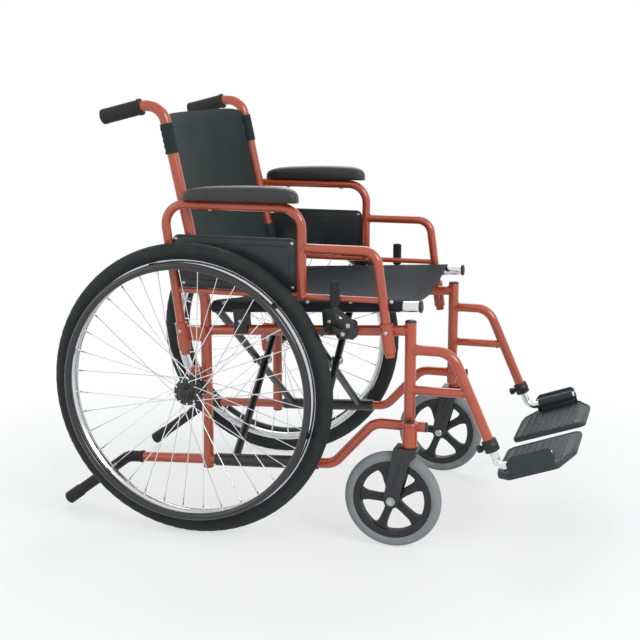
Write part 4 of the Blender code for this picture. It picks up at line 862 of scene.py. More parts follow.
def wheel_bolt():
    """Axle bolt with its spacer between frame and hub, its nut and the cap on the hub."""
    s = Shape()
    inner, outer = FRAME_X - BOSS_HALF, FRAME_X + BOSS_HALF
    hub_in, hub_out = WHEEL_X - HUB_HALF, WHEEL_X + HUB_HALF
    pin = [(0, inner - 0.004), (0.0058, inner - 0.004), (0.0058, hub_out + 0.004), (0, hub_out + 0.004)]
    lathe(s, pin, 24, AXLE_PLACE)
    spacer = [(0.0060, outer + GAP), (0.0100, outer + GAP), (0.0100, hub_in - GAP), (0.0060, hub_in - GAP)]
    lathe(s, spacer, 32, AXLE_PLACE)
    nut(s, vec(inner - GAP, AXLE_Y, WHEEL_R), -X, 0.0092, 0.0072)
    cap = [(0, GAP), (0.0122, GAP), (0.0128, 0.0014), (0.0124, 0.0034), (0.0100, 0.0056), (0.0060, 0.0072),
           (0, 0.0078)]
    lathe(s, [(r, hub_out + x) for r, x in cap], 40, AXLE_PLACE, 1)
    return s


pair("tyre_casing", rear_tyre(), [TYRE], "rear_wheel_%s", "rear_tyre", 60)
pair("polished_rim", rear_rim(), [RIM], "rear_wheel_%s", "rear_rim")
pair("wheel_spokes", wheel_spokes(), [CHROME], "rear_wheel_%s", "spoked_hub", 60)
pair("wheel_hub", wheel_hub(), [BLACK], "rear_wheel_%s", "")
pair("handrim_ring", handrim(), [RIM_BLACK], "rear_wheel_%s", "handrim", 60)
pair("handrim_tabs", handrim_tabs(), [RIM_BLACK, STEEL], "rear_wheel_%s", "")
pair("wheel_bolt", wheel_bolt(), [STEEL, PLASTIC], "%s_frame", "rear_axle")


# Castors

CASTOR = vec(CASTOR_X, CASTOR_Y, CASTOR_R)
BLADE_INSIDE, BLADE_T = 0.0165, 0.004


def castor_fork():
    s = Shape()
    front, rear, top = STEM_Y - 0.017, CASTOR_Y - 0.004, CROWN_Z + CROWN_T
    outline = rounded([
        (front, CROWN_Z - 0.006), (front, top), (rear, top),
        (CASTOR_Y + 0.0155, CASTOR_R + 0.006), (CASTOR_Y + 0.0130, CASTOR_R - 0.012),
        (CASTOR_Y - 0.0130, CASTOR_R - 0.012), (CASTOR_Y - 0.0160, CASTOR_R + 0.006),
        (STEM_Y - 0.004, CROWN_Z - 0.020)], [0.004, 0.004, 0.006, 0.008, 0.009, 0.009, 0.008, 0.010])
    for side in (-1, 1):
        x = CASTOR_X + side * (BLADE_INSIDE + BLADE_T / 2)
        solid(s, outline, -BLADE_T / 2, BLADE_T / 2, 0.0010, on_plane_x(x))
    crown = [(front, CROWN_Z), (front, top), (rear, top), (rear + 0.002, CROWN_Z)]
    reach = BLADE_INSIDE + 0.0035
    solid(s, crown, -reach, reach, 0.0012, on_plane_x(CASTOR_X))
    # pressed stiffening rib down the middle of each blade
    for side in (-1, 1):
        x = CASTOR_X + side * (BLADE_INSIDE + BLADE_T)
        a = vec(x, STEM_Y + 0.010, CROWN_Z - 0.012)
        b = vec(x, CASTOR_Y - 0.001, CASTOR_R + 0.026)
        tube(s, [a, a.lerp(b, 0.2), a.lerp(b, 0.8), b], [0.0010, 0.0024, 0.0024, 0.0010], 16, 0.001)
    return rod(s, STEM + Z * (CROWN_Z + 0.004 - HOUSING_Z), STEM + Z * 0.036, 0.008, 28, mat=1)


def castor_pin():
    s = Shape()
    reach = BLADE_INSIDE + BLADE_T + GAP
    rod(s, CASTOR - X * (reach + 0.002), CASTOR + X * (reach + 0.002), 0.0058, 20)
    nut(s, CASTOR + X * reach, X, 0.0072, 0.0048)
    return bolt(s, CASTOR - X * reach, -X, 0.0085, 0.0048)


def castor_wheel():
    """Moulded wheel: rim bed, five wide spokes and a hub with a bearing at each face."""
    s = Shape()
    half = 0.0100
    rim = [(0.080, half - 0.001), (0.0795, half), (0.0680, half), (0.0665, half - 0.0010),
           (0.0660, half - 0.0030), (0.0672, 0.0022)]
    lathe(s, mirrored(rim), 96, Matrix.Translation(CASTOR))
    hub = [(0.0064, -0.0158), (0.0115, -0.0158), (0.0125, -0.0148), (0.0130, -0.0112), (0.0178, -0.0096),
           (0.0185, -0.0080)]
    lathe(s, mirrored(hub), 56, Matrix.Translation(CASTOR))
    spoke = mirrored([(0.0150, -0.0088), (0.0300, -0.0078), (0.0520, -0.0088), (0.0600, -0.0115),
                      (0.0675, -0.0190), (0.0690, 0.0)])
    for k in range(5):
        spin = Matrix.Rotation(2 * pi * (k + CASTOR_TURN) / 5, 4, "X")
        turn = Matrix.Translation(CASTOR) @ spin @ on_plane_x()
        solid(s, spoke, -0.0062, 0.0062, 0.0016, turn)
        # raised rib along the middle of each spoke, both faces
        for side in (-1, 1):
            place = turn @ Matrix.Translation((0, 0, side * 0.0060))
            brick(s, (0.0400, 0, 0), (0.046, 0.0042, 0.0024), 0.0009, place)
    return s


def castor_tyre():
    section, bed = 0.0125, 0.0803
    profile = [(bed, 0.0100), (bed, -0.0100)]
    for k in range(27):
        a = radians(-142 + 284 * k / 26)
        profile.append((max(CASTOR_R - section + section * cos(a), bed), section * sin(a)))
    return lathe(Shape(), profile, 128, Matrix.Translation(CASTOR))


pair("castor_fork_blades", castor_fork(), [BLACK, STEEL], "castor_swivel_%s", "castor_fork")
pair("castor_pin", castor_pin(), [STEEL], "castor_swivel_%s", "castor_axle")
pair("castor_moulding", castor_wheel(), [PLASTIC], "castor_roller_%s", "castor_wheel")
pair("castor_rubber", castor_tyre(), [GREY_TYRE], "castor_roller_%s", "castor_tyre", 50)


# Folding cross brace

REAR_X_V, FRONT_X_V, LEG_SPACING, LEG_R = 0.073, 0.240, 0.0185, 0.0085
SLEEVE_V, SEAT_RAIL_V = (0.040, 0.266), (0.057, 0.493)
SEAT_V = (0.060, 0.460)
PIVOT_R, PIVOT_HEAD_SINK = 0.0039, 0.0012


def cross_brace(top):
    """One half of the brace: seat rail on the side called top, sleeve on the other."""
    s = Shape()
    shift = top * LEG_SPACING / 2
    rail_x = top * FRAME_X
    # painted under the sling, and plated from just inside the sling's front edge
    ends = (SEAT_RAIL_V[0], SEAT_V[1] - 0.006, SEAT_V[1] - 0.010, SEAT_RAIL_V[1])
    start, painted, plain, end = (on_rail(rail_x, v, SEAT_RAIL_H) for v in ends)
    rod(s, start, painted, SEAT_RAIL_R, 32)
    rod(s, plain, end, SEAT_RAIL_R - 0.0001, 32, mat=1)
    a, b = (on_rail(-rail_x, v, BOTTOM_RAIL_H) for v in SLEEVE_V)
    length, along = (b - a).length, (b - a).normalized()
    inner, outer = RAIL_R + GAP, RAIL_R + GAP + 0.0025
    wall = [(inner, 0), (outer - 0.0006, 0), (outer, 0.0006), (outer, length - 0.0006),
            (outer - 0.0006, length), (inner, length)]
    lathe(s, wall, 36, facing(a, b - a))
    for v in (REAR_X_V, FRONT_X_V):
        foot = on_rail(-rail_x, v + shift, BOTTOM_RAIL_H)
        head = on_rail(rail_x, v + shift, SEAT_RAIL_H)
        d = (head - foot).normalized()
        # the legs are pressed a little flat where the pivot passes through them
        shares = [k / 40 for k in range(41)]
        radii = [LEG_R - 0.0006 * exp(-((f - 0.5) * 9) ** 2) for f in shares]
        tube(s, [foot.lerp(head, f) for f in shares], radii, 28, 0)
        weld(s, foot, d, along, LEG_R, outer)
        weld(s, head, -d, along, LEG_R, SEAT_RAIL_R)
    return s


def pivot_bolt(v):
    s = Shape()
    reach = LEG_SPACING / 2 + LEG_R + GAP
    middle = on_rail(0, v, PIVOT_H)
    rod(s, middle - FORWARD * reach, middle + FORWARD * reach, PIVOT_R, 18)
    bolt(s, middle + FORWARD * (reach - PIVOT_HEAD_SINK), FORWARD, 0.0088, 0.0050)
    nut(s, middle - FORWARD * (reach - PIVOT_HEAD_SINK), -FORWARD, 0.0075, 0.0042)
    washer = mirrored([(PIVOT_R + GAP, -0.0006), (0.0098, -0.0006)])
    return lathe(s, washer, 24, facing(middle, FORWARD))


def rail_cap():
    profile = [(0, 0.0002), (0.0108, 0.0002), (0.0125, 0.0008), (0.0127, 0.0030), (0.0118, 0.0048),
               (0.0090, 0.0060), (0.0045, 0.0066), (0, 0.0067)]
    place = facing(on_rail(FRAME_X, SEAT_RAIL_V[1], SEAT_RAIL_H), FORWARD)
    return lathe(Shape(), profile, 36, place)


def saddle(v):
    """Moulded cradle: grips the upper rail below and holds the seat rail in its open top."""
    s = Shape()
    low, high, half = UPPER_RAIL_H - 0.005, SEAT_RAIL_H - 0.001, 0.015
    middle = (low + high) / 2
    side = [(half, low), (half, low + 0.010), (half - 0.0018, middle), (half, high - 0.012), (half, high)]
    outline = list(side)
    for k in range(13):
        a, r = radians(-5 - 170 * k / 12), SEAT_RAIL_R + GAP
        outline.append((r * cos(a), SEAT_RAIL_H + r * sin(a)))
    outline += [(-x, z) for x, z in reversed(side)]
    r = RAIL_R + GAP
    reach = degrees(asin((low - UPPER_RAIL_H) / r))
    for k in range(13):
        a = radians(180 - reach - (180 - 2 * reach) * k / 12)
        outline.append((r * cos(a), UPPER_RAIL_H + r * sin(a)))
    place = RAKED @ Matrix(((1, 0, 0, FRAME_X), (0, 0, 1, -v), (0, 1, 0, 0), (0, 0, 0, 1)))
    solid(s, outline, -0.014, 0.014, 0.0009, place)
    spot = on_rail(FRAME_X + half, v, middle - 0.0005)
    return bolt(s, spot - X * 0.0018, X, 0.0042, 0.0028, 1)


for letter, top in (("a", 1), ("b", -1)):
    name = "cross_brace_" + letter
    make(name + "_tubes", cross_brace(top), [BLACK, CHROME], "brace_" + letter, name)
for name, v in (("rear", REAR_X_V), ("front", FRONT_X_V)):
    make("pivot_" + name, pivot_bolt(v), [STEEL], "brace_a", "pivot_bolt_" + name)
for side, body in (("left", "brace_a"), ("right", "brace_b")):
    make("rail_cap_" + side, rail_cap(), [PLASTIC], body, "seat_rail_cap_" + side,
         side == "right")
for name, v in (("rear", 0.120), ("front", 0.310)):
    pair("saddle_" + name, saddle(v), [PLASTIC, STEEL], "%s_frame", name + "_saddle")


# Armrests

ARM_SIDE_BAR_R, BEAD = 0.006, 0.0013
PAD_X, PAD_LENGTH, PAD_WIDTH, PAD_HEIGHT, PAD_BACK_Y = ARM_X + 0.005, 0.242, 0.044, 0.032, AXLE_Y + 0.018
PAD_REAR_SHARE, PAD_CREST, PAD_SEAM = 0.76, 0.68, 0.30


def armrest_frame():
    s = Shape()
    rear_low, front_low = (socket_span(*socket)[0] - LEAN * 0.008 for socket in SOCKETS)
    upper = [rear_low, rear_leg(ARM_TOP_Z), vec(ARM_X, ARM_FRONT_Y, ARM_TOP_Z),
             vec(ARM_X, ARM_FRONT_Y, ARM_BAR_Z - 0.001)]
    tube(s, fillet(upper, 0.042, 12), ARM_R, 30)
    corner = vec(ARM_X, ARM_FRONT_Y, ARM_STEP_Z)
    tube(s, fillet([corner, front_leg(ARM_STEP_Z), front_low], 0.032, 12), ARM_R * 0.985, 30)
    bar_rear, bar_front = rear_leg(ARM_BAR_Z), front_leg(ARM_BAR_Z)
    rod(s, bar_rear, bar_front, ARM_SIDE_BAR_R)
    weld(s, corner, -Y, Z, ARM_R, ARM_R)
    weld(s, bar_rear, -Y, LEAN, ARM_SIDE_BAR_R, ARM_R, BEAD)
    weld(s, bar_front, Y, LEAN, ARM_SIDE_BAR_R, ARM_R, BEAD)
    return weld(s, (ARM_X, ARM_FRONT_Y, ARM_BAR_Z), Z, Y, ARM_R, 0.0062, BEAD)


def armrest_pad():
    """Foam pad, thickest towards its front: rounded ends, a parting line, flat underneath."""
    bottom = ARM_TOP_Z + ARM_R + GAP
    stations, around = 61, 48
    verts = []
    for i in range(stations):
        along = (1 - cos(pi * i / (stations - 1))) / 2
        e = abs(2 * along - 1)
        swell = max(0.0, 1 - e ** 7) ** 0.5
        half = PAD_WIDTH / 2 * max(0.30, 0.30 + 0.70 * swell)
        if e > 0.9999:
            half *= 0.55
        climb = sin(pi / 2 * min(1.0, along / PAD_CREST))
        height = PAD_HEIGHT * (0.34 + 0.66 * swell) * (PAD_REAR_SHARE + (1 - PAD_REAR_SHARE) * climb)
        for c, q in circle(around, 0.5):
            x = half * copysign(abs(c) ** 0.62, c)
            if q >= 0:
                z = height * (PAD_SEAM + (1 - PAD_SEAM) * q ** 0.78)
            else:
                z = height * PAD_SEAM * (1 - abs(q) ** 0.35)
            # parting line
            pinch = exp(-((z / max(height, 1e-6) - PAD_SEAM) / 0.035) ** 2)
            x -= copysign(0.0009 * pinch, x)
            verts.append((PAD_X + x, PAD_BACK_Y - PAD_LENGTH * along, bottom + max(z, 0.0)))
    return Shape().add(verts, ring_faces(stations, around))


def armrest_fixings():
    """Screws that hold the pad from under its tube."""
    s = Shape()
    for y in (PAD_BACK_Y - 0.055, PAD_BACK_Y - PAD_LENGTH + 0.055):
        bolt(s, vec(ARM_X, y, ARM_TOP_Z - ARM_R + 0.0006), -Z, 0.0040, 0.0026)
    return s


def side_panel():
    """Thin moulded guard: rolled border, a shallow pressed field and a screw at each corner."""
    s = Shape()
    floor_z, top_z = ARM_BAR_Z + ARM_SIDE_BAR_R + GAP, 0.622
    side = (ARM_R + GAP) / cos(ARM_LEAN)
    corners = [(rear_leg(floor_z).y - side, floor_z), (rear_leg(top_z).y - side, top_z),
               (ARM_FRONT_Y + ARM_R + GAP, top_z), (ARM_FRONT_Y + ARM_R + GAP, floor_z)]
    outline = rounded(corners, [0.004, 0.014, 0.014, 0.004])
    solid(s, outline, -0.00115, 0.00115, 0.0005, on_plane_x(ARM_X))
    cy, cz = sum(c[0] for c in corners) / 4, (floor_z + top_z) / 2

    def inset(amount):
        return [(y - copysign(amount, y - cy), z - copysign(amount, z - cz)) for y, z in corners]

    for out in (-1, 1):
        for amount, r in ((0.0035, 0.0012), (0.016, 0.0010)):
            loop = [vec(ARM_X + out * 0.0012, y, z) for y, z in rounded(inset(amount), 0.012, 8)]
            tube(s, loop, r, 8, closed=True)
        for y, z in inset(0.0095):
            bolt(s, vec(ARM_X + out * 0.0010, y, z), X * out, 0.0034, 0.0016, 1, False)
    return s


pair("armrest_tubes", armrest_frame(), [RED], "armrest_%s", "armrest_frame")
for pad in pair("armrest_cushion", armrest_pad(), [PAD], "armrest_%s", "armrest_pad", 70):
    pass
pair("armrest_fixings", armrest_fixings(), [STEEL], "armrest_%s", "")
pair("side_guard", side_panel(), [PANEL, STEEL], "armrest_%s", "side_panel")


# Seat and back

REAR_DROOP, FRONT_DROOP, SEAT_SAG, SEAT_T = 0.004, 0.012, 0.020, 0.0024
SEAT_PUCKER, SEAT_UNEVEN, SEAT_ROWS, SEAT_WRAP = 0.0014, 0.0024, 57, 15
BACK_BOW, BACK_BULGE, BACK_PUCKER, BACK_UNEVEN = 0.032, 0.004, 0.0012, 0.0016
THREAD_R, STITCH = 0.00045, 0.0050
SLING_HALF = FRAME_X - 0.0095
BACK_LOW, BACK_HIGH = 0.045, 0.392
BACK_SLEEVES = (("top", 0.312, 0.373), ("low", 0.066, 0.110))


def seat_profile():
    """Half of the sling's section, from its middle out: (x, height over the rails' axes, free)."""
    top = SEAT_RAIL_R + 0.0028
    points = []
    for k in range(25):
        x = FRAME_X * k / 25
        points.append((x, top - SEAT_SAG * (1 - (x / FRAME_X) ** 2) ** 1.5, 1))
    for k in range(SEAT_WRAP):
        a = radians(90 - 118 * k / (SEAT_WRAP - 1))
        points.append((FRAME_X + top * cos(a), top * sin(a), 0))
    return points


def seat_grid_points():
    """Rows of points on the seat's upper face, with its droop and its soft puckers."""
    half = seat_profile()
    line = [(-x, z, free) for x, z, free in reversed(half[1:])] + half
    grid = []
    for i in range(SEAT_ROWS):
        f = i / (SEAT_ROWS - 1)
        v = SEAT_V[0] + (SEAT_V[1] - SEAT_V[0]) * f
        row = []
        for x, z, free in line:
            share = abs(x) / FRAME_X
            sink = REAR_DROOP * exp(-f * 16) + FRONT_DROOP * exp((f - 1) * 7)
            droop = -sink * (1 - min(share, 1) ** 2)
            pucker = 0.0
            if free:
                near = exp(-((1 - share) / 0.16) ** 2)
                pucker = SEAT_PUCKER * near * sin(f * 2 * pi * 11 + 0.6 * sin(f * 19))
                pucker += SEAT_UNEVEN * (1 - share ** 2) * noise.noise(vec(x * 9, v * 9, 2.7))
            row.append(vec(x, v, SEAT_RAIL_H + z + droop + pucker))
        grid.append(row)
    return grid


def seat_sling(grid):
    """Sling of two layers: sags between the rails and wraps over them."""
    rows, columns = len(grid), len(grid[0])
    verts = []
    for layer in (0, 1):
        for i, row in enumerate(grid):
            for j, p in enumerate(row):
                if abs(p.x) >= FRAME_X:
                    n = vec(p.x - copysign(FRAME_X, p.x), 0, p.z - SEAT_RAIL_H).normalized()
                else:
                    a = row[min(j + 1, columns - 1)] - row[max(j - 1, 0)]
                    b = grid[min(i + 1, rows - 1)][j] - grid[max(i - 1, 0)][j]
                    n = vec(a.x, 0, a.z).cross(vec(0, b.y, 0)).normalized()
                    n = -n if n.z < 0 else n
                q = p - n * SEAT_T * layer
                verts.append(RAKED @ vec(q.x, -q.y, q.z))
    return Shape().add(verts, double_faces(rows, columns))


def seat_stitches(grid):
    """Rows of short threads along the hems of the seat."""
    s = Shape()
    edge = SEAT_WRAP + 1
    paths = [grid[i][edge:-edge] for i in (2, 3, -4, -3)]
    paths += [[row[j] for row in grid[1:-1]] for j in (edge + 1, edge + 2, -edge - 3, -edge - 2)]
    for path in paths:
        total, at = walk(path)
        d = 0.002
        while d + STITCH * 0.7 < total:
            stitch = []
            for share, lift in ((0.0, 0.0), (0.35, THREAD_R * 1.2), (0.7, 0.0)):
                p = at(d + STITCH * share)
                stitch.append(RAKED @ vec(p.x, -p.y, p.z + lift))
            tube(s, stitch, THREAD_R, 6, 0)
            d += STITCH
    return s


def seat_screws(sign):
    """Screws with cup washers that hold the sling to one rail."""
    s = Shape()
    for v in (0.085, 0.175, 0.265, 0.355, 0.438):
        d = (RAKED.to_3x3() @ vec(sign * 0.64, 0, 0.77)).normalized()
        spot = on_rail(sign * FRAME_X, v, SEAT_RAIL_H) + d * (SEAT_RAIL_R + 0.0026)
        bolt(s, spot, d, 0.0042, 0.0015)
    return s


seat_grid = seat_grid_points()
seat_piece = make("seat_sling", seat_sling(seat_grid), [SEAT_CLOTH], "", "seat_upholstery",
                  sharp=60)
seat_thread = make("seat_stitching", seat_stitches(seat_grid), [THREAD], sharp=60)
for sign, side, body in ((1, "left", "brace_a"), (-1, "right", "brace_b")):
    make("seat_screws_" + side, seat_screws(sign), [STEEL], body, "")

REARWARD = CANE.cross(X)
REARWARD = -REARWARD if REARWARD.y < 0 else REARWARD
CANE_FRAME = Matrix.Translation((0, CANE_START.y, CANE_START.z))
CANE_FRAME = CANE_FRAME @ Matrix((X, REARWARD, CANE)).transposed().to_4x4()


def back_point(u, h, offset):
    """u from -1 to 1 across the sling, h metres up the canes; offset towards the rear."""
    f = (h - BACK_LOW) / (BACK_HIGH - BACK_LOW)
    depth = BACK_BOW * (1 - (u * SLING_HALF / FRAME_X) ** 2)
    depth += BACK_BULGE * sin(pi * f) * (1 - u * u)
    depth += BACK_UNEVEN * (1 - u * u) * noise.noise(vec(u * 2.2, h * 9, 5.1))
    near = exp(-((1 - abs(u)) / 0.12) ** 2)
    depth += BACK_PUCKER * near * sin(f * 2 * pi * 9)
    top = BACK_HIGH - h
    lift = 0.006 * max(0.0, 1 - top / 0.06) * (1 - u * u) - 0.010 * max(0.0, 1 - top / 0.03) * abs(u) ** 10
    return CANE_FRAME @ vec(u * SLING_HALF, depth + offset, h + lift)


def back_sling():
    """Two-layer padded sling, softly quilted between its seams, closed all round."""
    wide, tall = 61, 57
    verts = []
    for face in (-1, 1):
        for i in range(tall):
            h = BACK_LOW + (BACK_HIGH - BACK_LOW) * i / (tall - 1)
            for j in range(wide):
                rim = min(1.0, min(i, tall - 1 - i) / 3, min(j, wide - 1 - j) / 3)
                full = sqrt(max(0.0, 1 - (1 - rim) ** 2))
                verts.append(back_point(-1 + 2 * j / (wide - 1), h, face * (0.0012 + 0.0026 * full)))
    return Shape().add(verts, double_faces(tall, wide))


def back_sleeve(low, high, sign):
    """Fabric tube round a cane, where the sling's edge is held."""
    rings, around, verts = 33, 40, []
    for radius, ripple in ((POST_R + 0.0022, 0.0003), (POST_R + GAP, 0.0)):
        for i in range(rings):
            f = i / (rings - 1)
            wave = ripple * sin(f * 2 * pi * 5)
            for k, (c, q) in enumerate(circle(around)):
                r = radius + wave * (1 + cos(2 * pi * k / around - 1.2))
                verts.append(CANE_FRAME @ vec(sign * FRAME_X + r * c, r * q, low + (high - low) * f))
    return Shape().add(verts, double_faces(rings, around, True))


def back_stitches():
    """Two rows of stitches along the top hem and each edge, and one along the lower hem."""
    s = Shape()
    runs = []
    for h in (BACK_HIGH - 0.026, BACK_HIGH - 0.030, BACK_LOW + 0.016):
        runs.append([(-0.93 + 1.86 * k / 90, h) for k in range(91)])
    for u in (-0.90, -0.92, 0.90, 0.92):
        runs.append([(u, BACK_LOW + 0.012 + (BACK_HIGH - BACK_LOW - 0.024) * k / 72) for k in range(73)])
    for run in runs:
        for face in (-1, 1):
            for (u0, h0), (u1, h1) in zip(run, run[1:]):
                stitch = []
                for share, lift in ((0.0, 0.0038), (0.33, 0.0042), (0.66, 0.0038)):
                    stitch.append(back_point(u0 + (u1 - u0) * share, h0 + (h1 - h0) * share, face * lift))
                tube(s, stitch, THREAD_R, 6, 0)
    return s


back_piece = make("back_sling", back_sling(), [BACK_CLOTH], "right_frame", "back_upholstery",
                  sharp=60)
for side, sign in (("left", 1), ("right", -1)):
    for name, low, high in BACK_SLEEVES:
        make(f"back_sleeve_{name}_{side}", back_sleeve(low, high, sign), [BACK_CLOTH],
                                  f"{side}_frame", "", sharp=60)
back_thread = make("back_stitching", back_stitches(), [THREAD], "right_frame", "", sharp=60)


# Footrests

UP = vec(0, sin(TOE_UP), cos(TOE_UP))
PLATE_FRAME = Matrix.Translation(HINGE) @ Matrix((-X, TOE, UP)).transposed().to_4x4()
BARREL_START, BARREL_END, TUBE_END, WALL_RISE = 0.044, 0.124, 0.128, 0.006
PLATE_TOP, PLATE_T, PLATE_REACH, PLATE_DEPTH = -0.0175, 0.010, 0.200, 0.162
KNUCKLE_R, BORE_R, WALL_X = 0.0126, 0.0084, 0.01055


def footrest_tube():
    s = Shape()
    corner = HANGER_END + DOWN * ((HINGE - HANGER_END).dot(UP) / DOWN.dot(UP))
    tip = corner + TOE * (TUBE_END - (corner - HINGE).dot(TOE))
    tube(s, fillet([HANGER_END - DOWN * 0.075, corner, tip], 0.018, 12), BAR_R, 28, 0.0012)
    # adjustment holes, each a dark dimple with a rim, on the outer side
    dimple = [(0, 0.0002), (0.0021, 0.0002), (0.0024, 0.0005), (0.0028, 0.0003), (0.0030, -0.0006),
              (0, -0.0006)]
    for k in range(3):
        spot = HANGER_END + DOWN * (0.010 + 0.011 * k)
        lathe(s, dimple, 18, facing(spot + X * BAR_R, X))
    return s


def footplate():
    """Moulded plate with rounded corners, ribs across it, a rim, a wall and a hinge barrel."""
    s = Shape()
    top, reach, depth = PLATE_TOP, PLATE_REACH, PLATE_DEPTH
    corners = [(-0.0125, 0.030), (0.020, 0.004), (0.050, 0.0), (reach - 0.004, 0.0),
               (reach, depth - 0.004), (reach - 0.012, depth), (0.060, depth), (-0.0125, depth - 0.030)]
    outline = rounded(corners, [0.010, 0.012, 0.02, 0.016, 0.012, 0.012, 0.03, 0.012], 6)
    solid(s, outline, top - PLATE_T, top, 0.0022, PLATE_FRAME, 3)
    # raised rim just inside the edge
    rim = [PLATE_FRAME @ vec(x * 0.955 + 0.0045, y * 0.94 + 0.0048, top + 0.0002) for x, y in outline]
    tube(s, rim, 0.0016, 8, closed=True)
    pitch = (depth - 0.048) / 8
    for k in range(9):
        y, outermost = 0.020 + k * pitch, k in (0, 8)
        start = PLATE_FRAME @ vec(0.020 + (0.006 if outermost else 0), y, top)
        end = PLATE_FRAME @ vec(reach - 0.014 - (0.004 if outermost else 0), y, top)
        tube(s, [start, end], 0.0022, 14, 0.002)
    # pads between the ribs, in short rows
    for k in range(8):
        for j in range(11):
            spot = (0.030 + j * 0.0145, 0.020 + (k + 0.5) * pitch, top + 0.0002)
            brick(s, spot, (0.0085, 0.0040, 0.0012), 0.0004, PLATE_FRAME, 1)
    # ribs under the plate
    for k in range(4):
        spot = (0.040 + 0.042 * k, depth / 2, top - 0.0108)
        brick(s, spot, (0.003, depth - 0.050, 0.0030), 0.0006, PLATE_FRAME)
    barrel = [(BORE_R, BARREL_START), (KNUCKLE_R - 0.0008, BARREL_START), (KNUCKLE_R, BARREL_START + 0.0008),
              (KNUCKLE_R, BARREL_END - 0.0008), (KNUCKLE_R - 0.0008, BARREL_END), (BORE_R, BARREL_END)]
    turn = PLATE_FRAME @ Matrix(((0, 1, 0, 0), (1, 0, 0, 0), (0, 0, -1, 0), (0, 0, 0, 1)))
    lathe(s, barrel, 40, turn)
    # outer wall, rounded along its top
    high = KNUCKLE_R + WALL_RISE
    wall = rounded([(0.034, top - 0.008), (0.128, top - 0.008), (0.128, high - 0.006), (0.122, high),
                    (0.046, high), (0.034, high - 0.012)], [0.002, 0.002, 0.004, 0.005, 0.008, 0.006])
    solid(s, wall, -0.0018, 0.0018, 0.0010, PLATE_FRAME @ on_plane_x(-WALL_X))
    # web from the barrel down to the plate
    return brick(s, (BORE_R, (BARREL_START + BARREL_END) / 2, -0.0088),
                 (0.0045, BARREL_END - BARREL_START - 0.004, 0.0195), 0.0012, PLATE_FRAME)


def plate_trim():
    """End cap and spring washer where the plate turns on its tube."""
    s = Shape()
    cap = [(0, -0.0002), (0.0079, -0.0002), (0.0088, 0.0004), (0.0084, 0.0016), (0.0050, 0.0024), (0, 0.0027)]
    lathe(s, cap, 28, facing(HINGE + TOE * TUBE_END, TOE))
    washer = [(0.0081, 0), (0.0112, 0), (0.0112, 0.0012), (0.0081, 0.0012)]
    return lathe(s, washer, 28, facing(HINGE + TOE * (BARREL_START - 0.0017), TOE), 1)


def hanger_clamp():
    s = Shape()
    outer, inner, length = 0.0153, RAIL_R + GAP, 0.024
    wall = [(inner, 0), (outer - 0.0012, 0), (outer, 0.0012), (outer, 0.0090), (outer + 0.0006, 0.0100),
            (outer + 0.0006, 0.0140), (outer, 0.0150), (outer, 0.0228), (outer - 0.0012, length),
            (inner, length)]
    lathe(s, wall, 40, facing(HANGER_END, -DOWN))
    back = X.cross(DOWN).normalized()
    back = -back if back.y < 0 else back
    middle = HANGER_END - DOWN * length / 2
    neck = [(0, 0), (0.0052, 0), (0.0050, 0.0062), (0, 0.0062)]
    lathe(s, neck, 24, facing(middle + back * (RAIL_R + 0.002), back))
    # knob with six lobes
    rows = [(0.0, 0.70), (0.0006, 0.92), (0.0020, 1.0), (0.0078, 1.0), (0.0096, 0.90), (0.0104, 0.62)]
    around, verts = 48, []
    for x, k in rows:
        for j, (c, q) in enumerate(circle(around)):
            r = (0.0079 - 0.0011 * (0.5 - 0.5 * cos(6 * 2 * pi * j / around))) * k
            verts.append((x, r * c, r * q))
    place = facing(middle + back * (RAIL_R + 0.0076), back)
    return s.add(verts, ring_faces(len(rows), around), 0, place)


pair("footrest_stem", footrest_tube(), [CHROME], "footrest_%s", "footrest_tube")
pair("footplate_moulding", footplate(), [PLATE], "plate_%s", "footplate")
pair("footplate_trim", plate_trim(), [PLASTIC, STEEL], "footrest_%s", "")
pair("clamp_collar", hanger_clamp(), [PLASTIC], "%s_frame", "hanger_clamp")


# Wheel locks

LOCK_Y, LOCK_T = AXLE_Y - 0.322, 0.004
LOCK_PIVOT, LOCK_TIP = (AXLE_Y - 0.330, 0.456), (AXLE_Y - 0.303, 0.540)
SHOE_PIVOT, SHOE_Z, SHOE_R, SHOE_CLEAR = (AXLE_Y - 0.316, 0.436), 0.446, 0.0060, 0.009
PLATE_X = FRAME_X + RAIL_R + 0.005
LEVER_X = ARM_X + ARM_R + 0.002
SHOE_X = PLATE_X + LOCK_T + 0.0015
SHOE_Y = AXLE_Y - sqrt((WHEEL_R + SHOE_CLEAR + SHOE_R) ** 2 - (SHOE_Z - WHEEL_R) ** 2)


